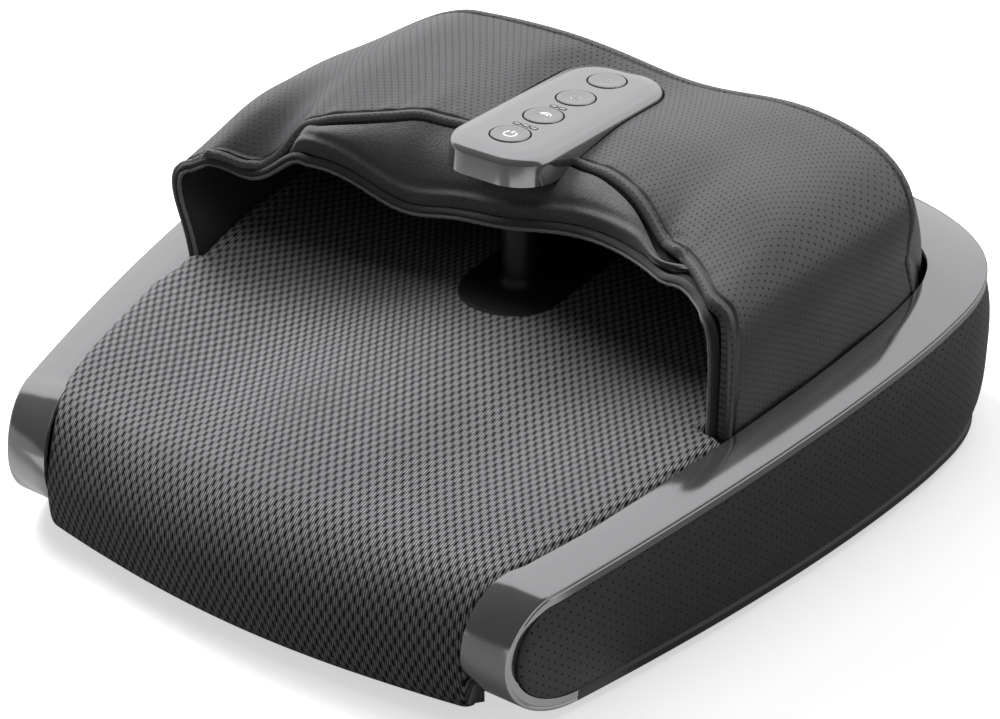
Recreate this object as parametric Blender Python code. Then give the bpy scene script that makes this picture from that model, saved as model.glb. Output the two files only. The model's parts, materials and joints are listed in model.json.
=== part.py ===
"""Foot massager with a fabric hood over two foot chambers, as separate parts.

Metres, +Z up, +X to the user's right, +Y away from the user. The origin is on
the floor under the middle of the object. Depths are measured back from the
front of the two metal noses, and depth_to_y turns them into Y.
"""
import math

import bmesh
import bpy
from mathutils import Matrix, Vector

# Whole body
BODY_WIDTH = 0.400
BODY_DEPTH = 0.416
NOSE_WIDTH = 0.2964
REAR_CURVE = 0.121
SIDE_POWER = 1.63
REAR_POWER = 2.97
FLOOR_GAP = 0.0045
NOSE_TOP = 0.0692
NOSE_REACH = 0.0271
NOSE_LOW_REACH = 0.038
REAR_TOP = 0.0929
NOSE_RISE_SHARE = 0.104
PART_GAP = 0.0003
FIT_GAP = 0.0004

# Metal trim band
BAND_NOSE_WIDTH = 0.0249
BAND_SIDE_WIDTH = 0.0225
BAND_SIDE_DEPTH = 0.060
BAND_REAR_WIDTH = 0.0318
BAND_THICK = 0.0022
BAND_LIP = 0.006
BAND_ROUND = 0.0016
BAND_ROUND_SHARE = 0.3
NOSE_TURN_SHARE = -0.2
HOOK_END = 0.039
BAND_NOSE_STEPS = 12
SIDE_STEPS = 8
REAR_STEPS = 10
ANGLE_LIMIT = 1e-6

# Side wrap and lower rail
WRAP_THICK = 0.003
WRAP_INSET = 0.0006
WRAP_BULGE = 0.0022
WRAP_START = 0.0075
RAIL_THICK = 0.004
WRAP_HEIGHT_SHARES = (0.0, 0.12, 0.5, 0.88, 1.0)
WRAP_BULGE_SHARES = (0.0, 0.55, 1.0, 0.55, 0.0)

# Base pan
PAN_WALL = 0.0025
PAN_FLOOR = 0.0025
PAN_FRONT = 0.0365
TONGUE_FRONT = 0.0175
TONGUE_HALF = 0.116
TONGUE_WALL = 0.008
CHEEK_HALF = 0.1345

# Rubber feet and screws
FOOT_RADIUS = 0.009
FOOT_BEVEL = 0.001
FOOT_SIDES = 16
FRONT_FOOT_X = 0.105
FRONT_FOOT_DEPTH = 0.055
REAR_FOOT_X = 0.140
REAR_FOOT_SETBACK = 0.076
SCREW_RADIUS = 0.003
SCREW_HEAD = 0.0016
SCREW_SIDES = 10
FRONT_SCREW_X = 0.060
FRONT_SCREW_DEPTH = 0.075
REAR_SCREW_X = 0.100
REAR_SCREW_SETBACK = 0.046

# Top deck
DECK_TOP = 0.052
DECK_THICK = 0.0025
DECK_FRONT = 0.014
DECK_NOSE_START = 0.034
DECK_HALF_AT_NOSE = 0.117
DECK_SKIRT_LOW = 0.0125
DECK_NOSE_STEPS = 5

# Foot pad
PAD_OVERHANG = 0.0115
PAD_BOW = 0.0175
PAD_NOSE_HALF = 0.128
PAD_LOW = 0.0055
PAD_BELLY = 0.030
PAD_NOSE_BACK = 0.028
PAD_UNDERCUT = 0.007
PAD_HEEL = 0.009
PAD_HEEL_STEPS = 3
PAD_STEP = 0.0140
PAD_STEP_AHEAD = 0.017
PAD_STEP_RUN = 0.011
PAD_REAR_SHORT = 0.029
PAD_COLUMN_STEPS = 16
PAD_NOSE_STEPS = 5
PAD_OPEN_STEPS = 5
PAD_HIDDEN_STEPS = 6
TROUGH_X = 0.076
TROUGH_WIDTH = 0.038
TROUGH_DEEP = 0.0055
TROUGH_START = 0.015
TROUGH_FULL = 0.110
CENTRE_RIDGE = 0.0015
PAD_EDGE_DROP = 0.0012

# Massage heads
HEAD_TOE = 0.004
REAR_HEAD_BEHIND = 0.039
HEAD_RADIUS = 0.038
HEAD_PLATE = 0.0032
HEAD_LIFT = 0.0006
HEAD_SIDES = 18
KNOB_RADIUS = 0.0115
KNOB_PITCH = 0.0235
KNOB_HEIGHT = 0.0090
KNOB_COUNT = 3
KNOB_SIDES = 8
# Radius and height shares of a knob's rings
KNOB_SHARES = ((1.0, 0.3), (0.82, 0.72), (0.42, 0.96), (0.12, 1.0))
POCKET_CLEAR = 0.0045
POCKET_HEAD_ROOM = 0.0015
SHAFT_RADIUS = 0.004
SHAFT_SIDES = 12
RUN_GAP = 0.0003
BOSS_RADIUS = 0.007
BOSS_HEIGHT = 0.006

# Gear train
GEAR_MODULE = 0.003
GEAR_TEETH = 20
IDLER_TEETH = 10
GEAR_LOW = 0.0378
GEAR_HIGH = 0.0448
TOOTH_ADDENDUM_SHARE = 0.85
TOOTH_DEDENDUM_SHARE = 1.15
TOOTH_TIP_SHARE = 0.20
TOOTH_ROOT_SHARE = 0.56
IDLER_PIN_RADIUS = 0.003
IDLER_PILLAR_RADIUS = 0.006
IDLER_PIN_TOP = 0.0470

# Worm drive
WORM_AXIS_HEIGHT = 0.0275
WHEEL_TEETH = 24
WHEEL_RADIUS = 0.020
WHEEL_THICK = 0.010
WORM_RADIUS = 0.008
WORM_TURNS = 4
WORM_CORE_HALF = 0.014
WORM_SIDES = 10
WORM_ROOT_SHARE = 0.56
WORM_TIP_SHARE = 0.16
WORM_SINK_SHARE = 0.3
WORM_SHAFT_RADIUS = 0.003
WORM_SHAFT_END = 0.025
MOTOR_RADIUS = 0.015
MOTOR_HALF = 0.028
MOTOR_COLLAR = 0.0025
MOTOR_COLLAR_RADIUS = 0.007
CRADLE_HALF = 0.020
CRADLE_WIDE = 0.0135
CRADLE_HIGH = 0.0225
BEARING_BESIDE = 0.0195
BEARING_THICK = 0.008
BEARING_WIDE = 0.016
BEARING_HIGH = 0.0345

# Centre post and flange
POST_HALF = 0.0095
POST_BEHIND = 0.0235
POST_LENGTH = 0.0205
POST_FILLET = 0.005
FLANGE_HALF = 0.025
FLANGE_BEHIND = 0.001
FLANGE_LENGTH = 0.110
FLANGE_THICK = 0.005
FLANGE_LIFT = 0.0012
FLANGE_ROUND = 0.0015
STEM_INSET = 0.004
OVAL_STEPS = 10

# Control panel
PANEL_HALF = 0.029
PANEL_SETBACK = 0.099
PANEL_LENGTH = 0.131
PANEL_CORNER = 0.021
PANEL_LIFT = 0.0087
PANEL_TILT = math.radians(2.0)
PANEL_HEIGHT = 0.016
PANEL_WALL = 0.0022
PANEL_EDGE = 0.0035
PANEL_CROWN = 0.0012
PANEL_CROWN_INSET = 0.0075
PANEL_LEAN = 0.0014
PANEL_CORNER_STEPS = 5
PANEL_BASE_LOW = 0.0172
PANEL_BASE_TOP = 0.0112
BOARD_THICK = 0.0016
BOARD_INSET = 0.005
SWITCH_SIZE = 0.006
SWITCH_HEIGHT = 0.0035
LED_LENGTH = 0.0024
LED_WIDTH = 0.0012
LED_HEIGHT = 0.0008
LED_SPREAD = 0.0062
LED_ROW_COUNT = 2

# Buttons
BUTTON_BEHIND = 0.024
BUTTON_PITCH = 0.0283
BUTTON_RADIUS = 0.0098
BUTTON_GAP = 0.0003
BUTTON_PROUD = 0.0005
BUTTON_FLANGE = 0.001
BUTTON_FLANGE_THICK = 0.0012
BUTTON_STEM_RADIUS = 0.003
BUTTON_TRAVEL = 0.0008
BUTTON_STOP_GAP = 0.0001
BUTTON_SIDES = 18
BUTTON_DISH = 0.0004
BUTTON_NAMES = ("power_button", "air_button", "roller_button", "heat_button")

# Hood
HOOD_THICK = 0.0035
HOOD_COLUMN_STEPS = 32
HOOD_ROW_STEPS = 7
HOOD_BACK_STEPS = 3
HOOD_WALL_POWER = 9.25
HOOD_RISE_POWER = 7.0
ARCH_STEPS = 400
HOOD_SIDE_SET = 0.042
LEATHER_BEHIND = 0.036
LEATHER_FRONT_SWEEP = 0.075
LEATHER_FRONT_TOP = 0.1615
RIGHT_SETBACK = 0.010
RIGHT_SETBACK_X = 0.140
LEFT_FOLD = 0.0255
LEFT_FOLD_X = -0.130
LEFT_FOLD_WIDTH = 0.016
RIGHT_TUCK = 0.016
RIGHT_TUCK_X = 0.098
RIGHT_TUCK_WIDTH = 0.016
FOLD_FADE_POWER = 5.0
LIP_BEHIND = 0.024
LIP_FRONT_SWEEP = 0.063
LIP_FRONT_REACH = 0.011
LIP_REACH_WIDTH = 0.060
LIP_FRONT_TOP = 0.1410
LIP_FADE_POWER = 2.0
# Centre, width and depth of each dip in the opening's lower edge
LIP_SAGS = ((-0.058, 0.030, 0.016), (-0.008, 0.045, 0.012), (-0.125, 0.009, 0.013))
# Side, start, end and height of each rise towards the hood's walls
LIP_LIFTS = ((1, 0.105, 0.132, 0.009), (1, 0.132, 0.152, 0.010), (-1, 0.136, 0.154, 0.009))
SEAM_SETBACK = 0.085
SEAM_SWEEP = 0.030
SEAM_CORNER_SHARE = 1.6
SEAM_TOP = 0.1728
SADDLE_DEEP = 0.0105
SADDLE_X = 0.028
SADDLE_HALF = 0.056
CROWN_LIFT = 0.003
LEFT_DROP = 0.020
LEFT_DROP_START = 0.100
LEFT_DROP_END = 0.165
SIDE_BULGE_SHARE = 0.036
BULGE_START_SHARE = 0.50
HOOD_CORNER_SETBACK = 0.078
HOOD_BACK_SET = 0.050
HOOD_BACK_POWER = 4.5
HOOD_BACK_EASE = 1.8
BASE_INSET = 0.0010
BACK_FOOT_LIFT = 0.0008

# Hood lining, flap, binding and air bags
LINING_INSET = 0.0092
LINING_DROP = 0.0098
LINING_THICK = 0.002
LINING_COLUMN_STEPS = 20
LINING_ROW_STEPS = 5
LINING_BACK_STEPS = 2
LINING_FRONT_SET = 0.0045
LINING_FRONT_DROP = 0.0030
FLAP_LEFT = 0.112
FLAP_RIGHT = 0.084
FLAP_THICK = 0.0028
FLAP_COLUMN_STEPS = 18
FLAP_ROW_STEPS = 4
FLAP_SET = 0.0024
FLAP_BULGE = 0.004
FLAP_END_GAP = 0.0065
BINDING_RADIUS = 0.0030
BINDING_SIDES = 6
BINDING_STEPS = 34
BAG_THICK = 0.003
BAG_GAP = 0.0016
BAG_COLUMN_STEPS = (6, 8)
BAG_ROW_STEPS = (1, 4)

# Air pump, valve, hoses, boards and power inlet
PUMP_X = -0.080
PUMP_SETBACK = 0.098
PUMP_LENGTH = 0.058
PUMP_WIDTH = 0.042
PUMP_HEIGHT = 0.032
PUMP_BEVEL = 0.004
NIPPLE_RADIUS = 0.0016
NIPPLE_LENGTH = 0.008
NIPPLE_HEIGHT = 0.022
VALVE_LENGTH = 0.044
VALVE_WIDTH = 0.022
VALVE_HEIGHT = 0.024
HOSE_RADIUS = 0.0022
HOSE_RISE_X = 0.050
HOSE_SETBACK = 0.0404
HOSE_EASE = 0.018
HOSE_TOP = 0.0535
HOSE_STEPS = 8
MAIN_BOARD_X = 0.082
MAIN_BOARD_LENGTH = 0.070
MAIN_BOARD_WIDTH = 0.056
CHIP_SIZES = ((0.016, 0.012, 0.005), (0.010, 0.010, 0.014), (0.012, 0.020, 0.004))
CHIP_X_SHARES = (-0.28, 0.10, 0.30)
CHIP_DEPTH_SHARES = (0.15, -0.22, 0.20)
INLET_RADIUS = 0.0055
INLET_BORE = 0.0030
INLET_BORE_DEEP = 0.009
INLET_LENGTH = 0.016
INLET_HEIGHT = 0.032
INLET_SIDES = 16
CUT_OVERRUN = 0.010

# Colour, roughness and metal share of each finish
FINISHES = {
    "satin_trim": ((0.33, 0.33, 0.34), 0.28, 1.0),
    "panel_metal": ((0.42, 0.42, 0.43), 0.25, 1.0),
    "button_metal": ((0.42, 0.42, 0.43), 0.25, 1.0),
    "leatherette": ((0.045, 0.045, 0.048), 0.55),
    "mesh_cloth": ((0.10, 0.10, 0.105), 0.85),
    "lining_cloth": ((0.03, 0.03, 0.032), 0.95),
    "felt": ((0.05, 0.05, 0.053), 0.95),
    "binding_cloth": ((0.07, 0.07, 0.073), 0.9),
    "rail_plastic": ((0.07, 0.07, 0.072), 0.45),
    "black_plastic": ((0.02, 0.02, 0.022), 0.4),
    "post_plastic": ((0.02, 0.02, 0.022), 0.25),
    "white_plastic": ((0.75, 0.74, 0.70), 0.5),
    "steel": ((0.55, 0.55, 0.56), 0.3, 1.0),
    "brass": ((0.60, 0.45, 0.20), 0.35, 1.0),
    "rubber": ((0.03, 0.03, 0.03), 0.8),
    "circuit_board": ((0.03, 0.16, 0.07), 0.6),
}

MID_DEPTH = (BODY_DEPTH + WRAP_BULGE - WRAP_INSET - PAD_OVERHANG) / 2
NOSE_MID = (NOSE_TOP + FLOOR_GAP) / 2
NOSE_HALF_HEIGHT = (NOSE_TOP - FLOOR_GAP) / 2
PAN_LOW = FLOOR_GAP + BAND_THICK + PART_GAP
PAN_FLOOR_TOP = PAN_LOW + PAN_FLOOR
DECK_LOW = DECK_TOP - DECK_THICK
WALL_STACK = WRAP_INSET + WRAP_THICK + FIT_GAP
WIDEST_DEPTH = BODY_DEPTH - REAR_CURVE
CENTRE_DISTANCE = GEAR_MODULE * (GEAR_TEETH + IDLER_TEETH) / 2
PANEL_ROOF = -PANEL_CROWN - PANEL_WALL

# Places that follow the rear, the panel, the hood or each other
PANEL_REAR = BODY_DEPTH - PANEL_SETBACK
PANEL_FRONT = PANEL_REAR - PANEL_LENGTH
PANEL_TOP = LEATHER_FRONT_TOP + PANEL_LIFT
BUTTON_FIRST = PANEL_FRONT + BUTTON_BEHIND
POST_FRONT = PANEL_FRONT + POST_BEHIND
POST_REAR = POST_FRONT + POST_LENGTH
FLANGE_FRONT = PANEL_FRONT + FLANGE_BEHIND
FLANGE_REAR = FLANGE_FRONT + FLANGE_LENGTH
LEATHER_FRONT_CENTRE = PANEL_FRONT + LEATHER_BEHIND
LIP_FRONT_CENTRE = PANEL_FRONT + LIP_BEHIND
PAD_STEP_START = LIP_FRONT_CENTRE - LIP_FRONT_SWEEP - PAD_STEP_AHEAD
PAD_STEP_END = PAD_STEP_START + PAD_STEP_RUN
PAD_REAR = PANEL_REAR - PAD_REAR_SHORT
SEAM_DEPTH = BODY_DEPTH - SEAM_SETBACK
HOOD_CORNER_DEPTH = BODY_DEPTH - HOOD_CORNER_SETBACK
PUMP_DEPTH = BODY_DEPTH - PUMP_SETBACK
HOSE_RISE_DEPTH = BODY_DEPTH - HOSE_SETBACK
REAR_FOOT_DEPTH = BODY_DEPTH - REAR_FOOT_SETBACK
REAR_SCREW_DEPTH = BODY_DEPTH - REAR_SCREW_SETBACK
REAR_HEAD_DEPTH = PANEL_FRONT + REAR_HEAD_BEHIND
FRONT_HEAD_DEPTH = REAR_HEAD_DEPTH - 2 * CENTRE_DISTANCE
WORM_DEPTH = REAR_HEAD_DEPTH + WHEEL_RADIUS + WORM_RADIUS

# Places across the width that follow the body's sides
HOOD_FRONT_HALF = BODY_WIDTH / 2 - HOOD_SIDE_SET
HOOD_BACK_HALF = BODY_WIDTH / 2 - HOOD_BACK_SET
HEAD_X = HOOD_FRONT_HALF / 2 - HEAD_TOE
BEARING_X = HEAD_X + BEARING_BESIDE
WORM_SHAFT_HALF = HEAD_X + WORM_SHAFT_END


def depth_to_y(depth):
    """Y of a depth measured back from the front of the noses."""
    return depth - MID_DEPTH


def place(x, depth, z):
    """A point of the part from its side offset, depth and height."""
    return Vector((x, depth_to_y(depth), z))


def ease(value, low, high):
    """Smooth step from 0 at low to 1 at high."""
    t = min(max((value - low) / (high - low), 0.0), 1.0)
    return t * t * (3 - 2 * t)


def bell(value, centre, width):
    """Smooth bump of height 1 at the centre."""
    return math.exp(-((value - centre) / width) ** 2)


def mix(a, b, t):
    """Blend from a at t = 0 to b at t = 1."""
    return a + (b - a) * t


def signed_power(value, power):
    """Power of a value that keeps the value's sign."""
    return math.copysign(abs(value) ** power, value)


def material(name, color, roughness, metallic=0.0):
    """Principled material for one kind of part."""
    made = bpy.data.materials.new(name)
    made.use_nodes = True
    shader = made.node_tree.nodes["Principled BSDF"]
    shader.inputs["Base Color"].default_value = (*color, 1.0)
    shader.inputs["Roughness"].default_value = roughness
    shader.inputs["Metallic"].default_value = metallic
    made.diffuse_color = (*color, 1.0)
    return made


def finish_object(name, bm, mat, smooth_angle=math.radians(35)):
    """Turn a bmesh into a named object with one material."""
    bmesh.ops.recalc_face_normals(bm, faces=bm.faces)
    mesh = bpy.data.meshes.new(name)
    bm.to_mesh(mesh)
    bm.free()
    mesh.materials.append(mat)
    mesh.shade_smooth()
    mesh.set_sharp_from_angle(angle=smooth_angle)
    obj = bpy.data.objects.new(name, mesh)
    bpy.context.scene.collection.objects.link(obj)
    return obj


def make_cutter(obj):
    """Hide an object that only cuts others."""
    obj.hide_render = True
    obj.display_type = 'WIRE'
    return obj


def cut(obj, cutter, operation='DIFFERENCE'):
    """Cut an object with a cutter, or join the cutter to it."""
    mod = obj.modifiers.new(cutter.name, 'BOOLEAN')
    mod.operation = operation
    mod.solver = 'EXACT'
    mod.object = make_cutter(cutter)


def bridge_rings(bm, rings, closed=False, caps=True):
    """Skin rings of the same point count, each ring a closed loop."""
    loops = [[bm.verts.new(p) for p in ring] for ring in rings]
    count = len(loops[0])
    pairs = list(zip(loops, loops[1:]))
    if closed:
        pairs.append((loops[-1], loops[0]))
    for low, high in pairs:
        for i in range(count):
            j = (i + 1) % count
            bm.faces.new((low[i], low[j], high[j], high[i]))
    if caps and not closed:
        bm.faces.new(list(reversed(loops[0])))
        bm.faces.new(loops[-1])


def ring_solid(name, rings, mat, closed=False, smooth_angle=math.radians(35)):
    """Closed solid skinned over rings."""
    bm = bmesh.new()
    bridge_rings(bm, rings, closed)
    return finish_object(name, bm, mat, smooth_angle)


def add_cylinder(bm, radius, low, high, sides, centre=(0.0, 0.0), top_radius=None):
    """Upright cylinder or cone frustum inside a bmesh."""
    top = radius if top_radius is None else top_radius
    spot = Matrix.Translation((centre[0], centre[1], (low + high) / 2))
    bmesh.ops.create_cone(bm, cap_ends=True, segments=sides, radius1=radius,
                          radius2=top, depth=high - low, matrix=spot)


def add_box(bm, low, high):
    """Box between two corners inside a bmesh."""
    size = Vector(high) - Vector(low)
    spot = Matrix.Translation((Vector(low) + Vector(high)) / 2)
    spot = spot @ Matrix.Diagonal((*size, 1.0))
    return bmesh.ops.create_cube(bm, size=1.0, matrix=spot)["verts"]


def cylinder(name, radius, low, high, sides, mat, x, depth):
    """Upright cylinder object with its origin on its axis."""
    bm = bmesh.new()
    add_cylinder(bm, radius, low, high, sides)
    obj = finish_object(name, bm, mat)
    obj.location = place(x, depth, 0.0)
    return obj


def turned(name, profile, sides, mat, x, depth):
    """Solid turned about an upright axis from (radius, height) points."""
    rings = []
    for radius, height in profile:
        turns = [2 * math.pi * i / sides for i in range(sides)]
        rings.append([(radius * math.cos(a), radius * math.sin(a), height) for a in turns])
    obj = ring_solid(name, rings, mat, closed=False)
    obj.location = place(x, depth, 0.0)
    return obj


def front_half_width(depth):
    """Half width of the body in plan, ahead of its widest depth."""
    t = min(max(depth / WIDEST_DEPTH, 0.0), 1.0)
    spread = (BODY_WIDTH - NOSE_WIDTH) / 2
    return NOSE_WIDTH / 2 + spread * (1 - (1 - t) ** SIDE_POWER)


def plan_slope(depth):
    """Change of half width with depth, ahead of the widest depth."""
    t = min(max(depth / WIDEST_DEPTH, 0.0), 1.0)
    spread = (BODY_WIDTH - NOSE_WIDTH) / 2
    return spread * SIDE_POWER * (1 - t) ** (SIDE_POWER - 1) / WIDEST_DEPTH


def rear_station(angle):
    """Plan point and outward normal where the rear curve faces an angle."""
    side, back = math.cos(angle), math.sin(angle)
    if side < ANGLE_LIMIT:
        return 0.0, BODY_DEPTH, 0.0, 1.0
    ratio = (REAR_CURVE / (BODY_WIDTH / 2) * back / side) ** (1 / (REAR_POWER - 1))
    share = (1 + ratio ** REAR_POWER) ** (-1 / REAR_POWER)
    return (BODY_WIDTH / 2 * share, WIDEST_DEPTH + REAR_CURVE * ratio * share, side, back)


def right_stations(start, side_steps=SIDE_STEPS, rear_steps=REAR_STEPS):
    """Plan stations from a start depth along the right side to the rear."""
    stations = []
    for i in range(side_steps):
        depth = mix(start, WIDEST_DEPTH, i / side_steps)
        slope = plan_slope(depth)
        size = math.hypot(1.0, slope)
        stations.append((front_half_width(depth), depth, 1 / size, -slope / size))
    for i in range(rear_steps + 1):
        stations.append(rear_station(math.pi / 2 * i / rear_steps))
    return stations


def whole_stations(start, side_steps=SIDE_STEPS, rear_steps=REAR_STEPS):
    """Plan stations from the right start round the rear to the left start."""
    right = right_stations(start, side_steps, rear_steps)
    left = [(-x, d, -nx, nd) for x, d, nx, nd in reversed(right[:-1])]
    return right + left


def nose_reach(up):
    """How far back the nose curve runs, above or below its middle."""
    return NOSE_REACH if up > 0 else NOSE_LOW_REACH


def nose_join():
    """Angle, depth and height where the nose curve meets the top line."""
    angle = math.atan(NOSE_RISE_SHARE * NOSE_REACH / NOSE_HALF_HEIGHT)
    depth = NOSE_REACH * (1 - math.sin(angle))
    return angle, depth, NOSE_MID + NOSE_HALF_HEIGHT * math.cos(angle)


def top_height(depth):
    """Height of the band's top face at a depth behind the nose."""
    _, start, height = nose_join()
    run = BODY_DEPTH - start
    droop = (height + NOSE_RISE_SHARE * run - REAR_TOP) / run ** 2
    back = depth - start
    return height + NOSE_RISE_SHARE * back - droop * back ** 2


def band_width(depth):
    """Width of the band's top face at a depth."""
    if depth < BAND_SIDE_DEPTH:
        return mix(BAND_NOSE_WIDTH, BAND_SIDE_WIDTH, max(depth, 0.0) / BAND_SIDE_DEPTH)
    t = (depth - BAND_SIDE_DEPTH) / (BODY_DEPTH - BAND_SIDE_DEPTH)
    return mix(BAND_SIDE_WIDTH, BAND_REAR_WIDTH, t)


def band_section(outer, normal, inward, width):
    """One cross-section of the band, from the lip's foot round to it again."""
    edge = BAND_ROUND * BAND_ROUND_SHARE
    steps = [(0.0, -BAND_LIP), (0.0, -BAND_ROUND), (edge, -edge), (BAND_ROUND, 0.0),
             (width, 0.0), (width, -BAND_THICK), (BAND_THICK, -BAND_THICK),
             (BAND_THICK, -BAND_LIP)]
    return [outer + inward * a + normal * n for a, n in steps]


def band_rings():
    """Cross-sections from the right hook round the rear to the left hook."""
    join_angle, join_depth, _ = nose_join()
    right = []
    hook = Vector((front_half_width(HOOK_END), depth_to_y(HOOK_END), FLOOR_GAP))
    right.append((hook, Vector((0, 0, -1)), Vector((-1, 0, 0)), band_width(HOOK_END)))
    for i in range(BAND_NOSE_STEPS + 1):
        angle = mix(math.pi, join_angle, i / BAND_NOSE_STEPS)
        reach = nose_reach(math.cos(angle))
        depth = reach * (1 - math.sin(angle))
        z = NOSE_MID + NOSE_HALF_HEIGHT * math.cos(angle)
        outer = Vector((front_half_width(depth), depth_to_y(depth), z))
        normal = Vector((0, -math.sin(angle) / reach, math.cos(angle) / NOSE_HALF_HEIGHT))
        normal.normalize()
        turn = plan_slope(depth) * ease(math.cos(angle), NOSE_TURN_SHARE, 1.0)
        inward = Vector((-1, turn, 0))
        inward = (inward - normal * inward.dot(normal)).normalized()
        right.append((outer, normal, inward, band_width(depth)))
    for x, depth, nx, nd in right_stations(join_depth)[1:]:
        outer = Vector((x, depth_to_y(depth), top_height(depth)))
        normal = Vector((0, 0, 1))
        inward = Vector((-nx, -nd, 0))
        right.append((outer, normal, inward, band_width(depth)))
    flip = Vector((-1, 1, 1))
    left = [(o * flip, n, a * flip, w) for o, n, a, w in reversed(right[:-1])]
    return [band_section(*station) for station in right + left]


def make_band(mat):
    """Metal band from one nose round the rear to the other."""
    return ring_solid("trim_band", band_rings(), mat, smooth_angle=math.radians(40))


def inner_half_width(depth):
    """Half width inside the band's top face at a depth."""
    if depth <= WIDEST_DEPTH:
        return front_half_width(depth) - band_width(depth) * math.hypot(1.0, plan_slope(depth))
    half = BODY_WIDTH / 2 - band_width(WIDEST_DEPTH)
    run = BODY_DEPTH - BAND_REAR_WIDTH - WIDEST_DEPTH
    share = min((depth - WIDEST_DEPTH) / run, 1.0)
    return half * (1 - share ** REAR_POWER) ** (1 / REAR_POWER)


def wrap_range(depth):
    """Lowest and highest point of the side wrap at a depth."""
    lift = BAND_LIP + FIT_GAP
    low, high = FLOOR_GAP + lift, top_height(depth) - lift
    if depth < NOSE_REACH:
        high = NOSE_MID + nose_inset_height(depth, NOSE_REACH, lift)
    if depth < NOSE_LOW_REACH:
        low = NOSE_MID - nose_inset_height(depth, NOSE_LOW_REACH, lift)
    return low, high


def nose_inset_height(depth, reach, lift):
    """Height of the nose curve from its middle, drawn in by the lift."""
    share = min((reach - depth) / (reach - lift), 1.0)
    return (NOSE_HALF_HEIGHT - lift) * math.sqrt(1 - share ** 2)


def make_wrap(mat):
    """Side wrap that runs inside the lip from nose to nose."""
    rings = []
    for x, depth, nx, nd in whole_stations(WRAP_START, 11):
        low, high = wrap_range(depth)
        ring = []
        for share, bulge in zip(WRAP_HEIGHT_SHARES, WRAP_BULGE_SHARES):
            out = WRAP_BULGE * bulge - WRAP_INSET
            ring.append(place(x + nx * out, depth + nd * out, mix(low, high, share)))
        back = WRAP_INSET + WRAP_THICK
        for height in (high, low):
            ring.append(place(x - nx * back, depth - nd * back, height))
        rings.append(ring)
    return ring_solid("side_wrap", rings, mat)


def make_rail(mat):
    """Lower rail under the side wrap, from hook to hook."""
    rings = []
    for x, depth, nx, nd in whole_stations(HOOK_END + FIT_GAP):
        high = FLOOR_GAP + BAND_LIP
        inner = (x - nx * RAIL_THICK, depth - nd * RAIL_THICK)
        rings.append([place(x, depth, FLOOR_GAP), place(x, depth, high),
                      place(*inner, high), place(*inner, FLOOR_GAP)])
    return ring_solid("lower_rail", rings, mat)


def pan_outline(inset):
    """Plan outline of the base pan, and how high its wall goes there."""
    back = max(WALL_STACK, RAIL_THICK + FIT_GAP) + inset
    points = []
    for x, depth, nx, nd in whole_stations(PAN_FRONT + inset):
        wall = top_height(depth) - BAND_THICK - PART_GAP
        points.append((x - nx * back, depth - nd * back, wall))
    half = TONGUE_HALF - inset
    low_wall = PAN_FLOOR_TOP + TONGUE_WALL
    front = PAN_FRONT + inset
    tongue = TONGUE_FRONT + inset
    points[0] = (points[0][0], front, points[0][2])
    points[-1] = (points[-1][0], front, points[-1][2])
    shelf = DECK_LOW - PART_GAP
    side = half + PAN_WALL
    right = [(half, tongue, low_wall), (half, front, low_wall), (side, front, shelf),
             (CHEEK_HALF, front, shelf), (CHEEK_HALF + PAN_WALL, front, points[0][2])]
    return points + [(-x, d, wall) for x, d, wall in reversed(right)] + right


def make_pan(mat, holes):
    """Base pan: floor, side walls and a low tongue at the front."""
    outer, inner = pan_outline(0.0), pan_outline(PAN_WALL)
    rings = [[place(x, d, PAN_LOW) for x, d, _ in outer],
             [place(x, d, h) for x, d, h in outer],
             [place(x, d, h) for x, d, h in inner],
             [place(x, d, PAN_FLOOR_TOP) for x, d, _ in inner]]
    pan = ring_solid("base_pan", rings, mat)
    for hole in holes:
        cut(pan, hole)
    return pan


def corner_places(x_front, depth_front, x_rear, depth_rear):
    """Name, x and depth of a piece near each corner of the base."""
    return [("%s_%s" % (end, side), sign * x, depth)
            for side, sign in (("left", -1), ("right", 1))
            for end, x, depth in (("front", x_front, depth_front), ("rear", x_rear, depth_rear))]


def make_feet(mat):
    """Four rubber feet under the base pan."""
    top = PAN_LOW - PART_GAP
    profile = ((FOOT_RADIUS - FOOT_BEVEL, 0.0), (FOOT_RADIUS, FOOT_BEVEL), (FOOT_RADIUS, top))
    for name, x, depth in corner_places(FRONT_FOOT_X, FRONT_FOOT_DEPTH, REAR_FOOT_X, REAR_FOOT_DEPTH):
        turned(name + "_foot", profile, FOOT_SIDES, mat, x, depth)


def make_screws(mat):
    """Four screws whose heads show under the base pan."""
    top = PAN_LOW - PART_GAP
    for name, x, depth in corner_places(FRONT_SCREW_X, FRONT_SCREW_DEPTH, REAR_SCREW_X,
                                        REAR_SCREW_DEPTH):
        cylinder(name + "_screw", SCREW_RADIUS, top - SCREW_HEAD, top, SCREW_SIDES, mat, x, depth)


def deck_outline():
    """Plan outline of the deck's flat part, front middle edge last."""
    back = max(WALL_STACK, RAIL_THICK + FIT_GAP) + PAN_WALL + FIT_GAP
    front = PAN_FRONT + PAN_WALL + FIT_GAP
    points = []
    for x, depth, nx, nd in whole_stations(front):
        points.append((x - nx * back, depth - nd * back))
    points[0] = (points[0][0], front)
    points[-1] = (points[-1][0], front)
    cheek = CHEEK_HALF - FIT_GAP
    return points + [(-cheek, front), (-DECK_HALF_AT_NOSE, DECK_NOSE_START),
                     (DECK_HALF_AT_NOSE, DECK_NOSE_START), (cheek, front)]


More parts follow.
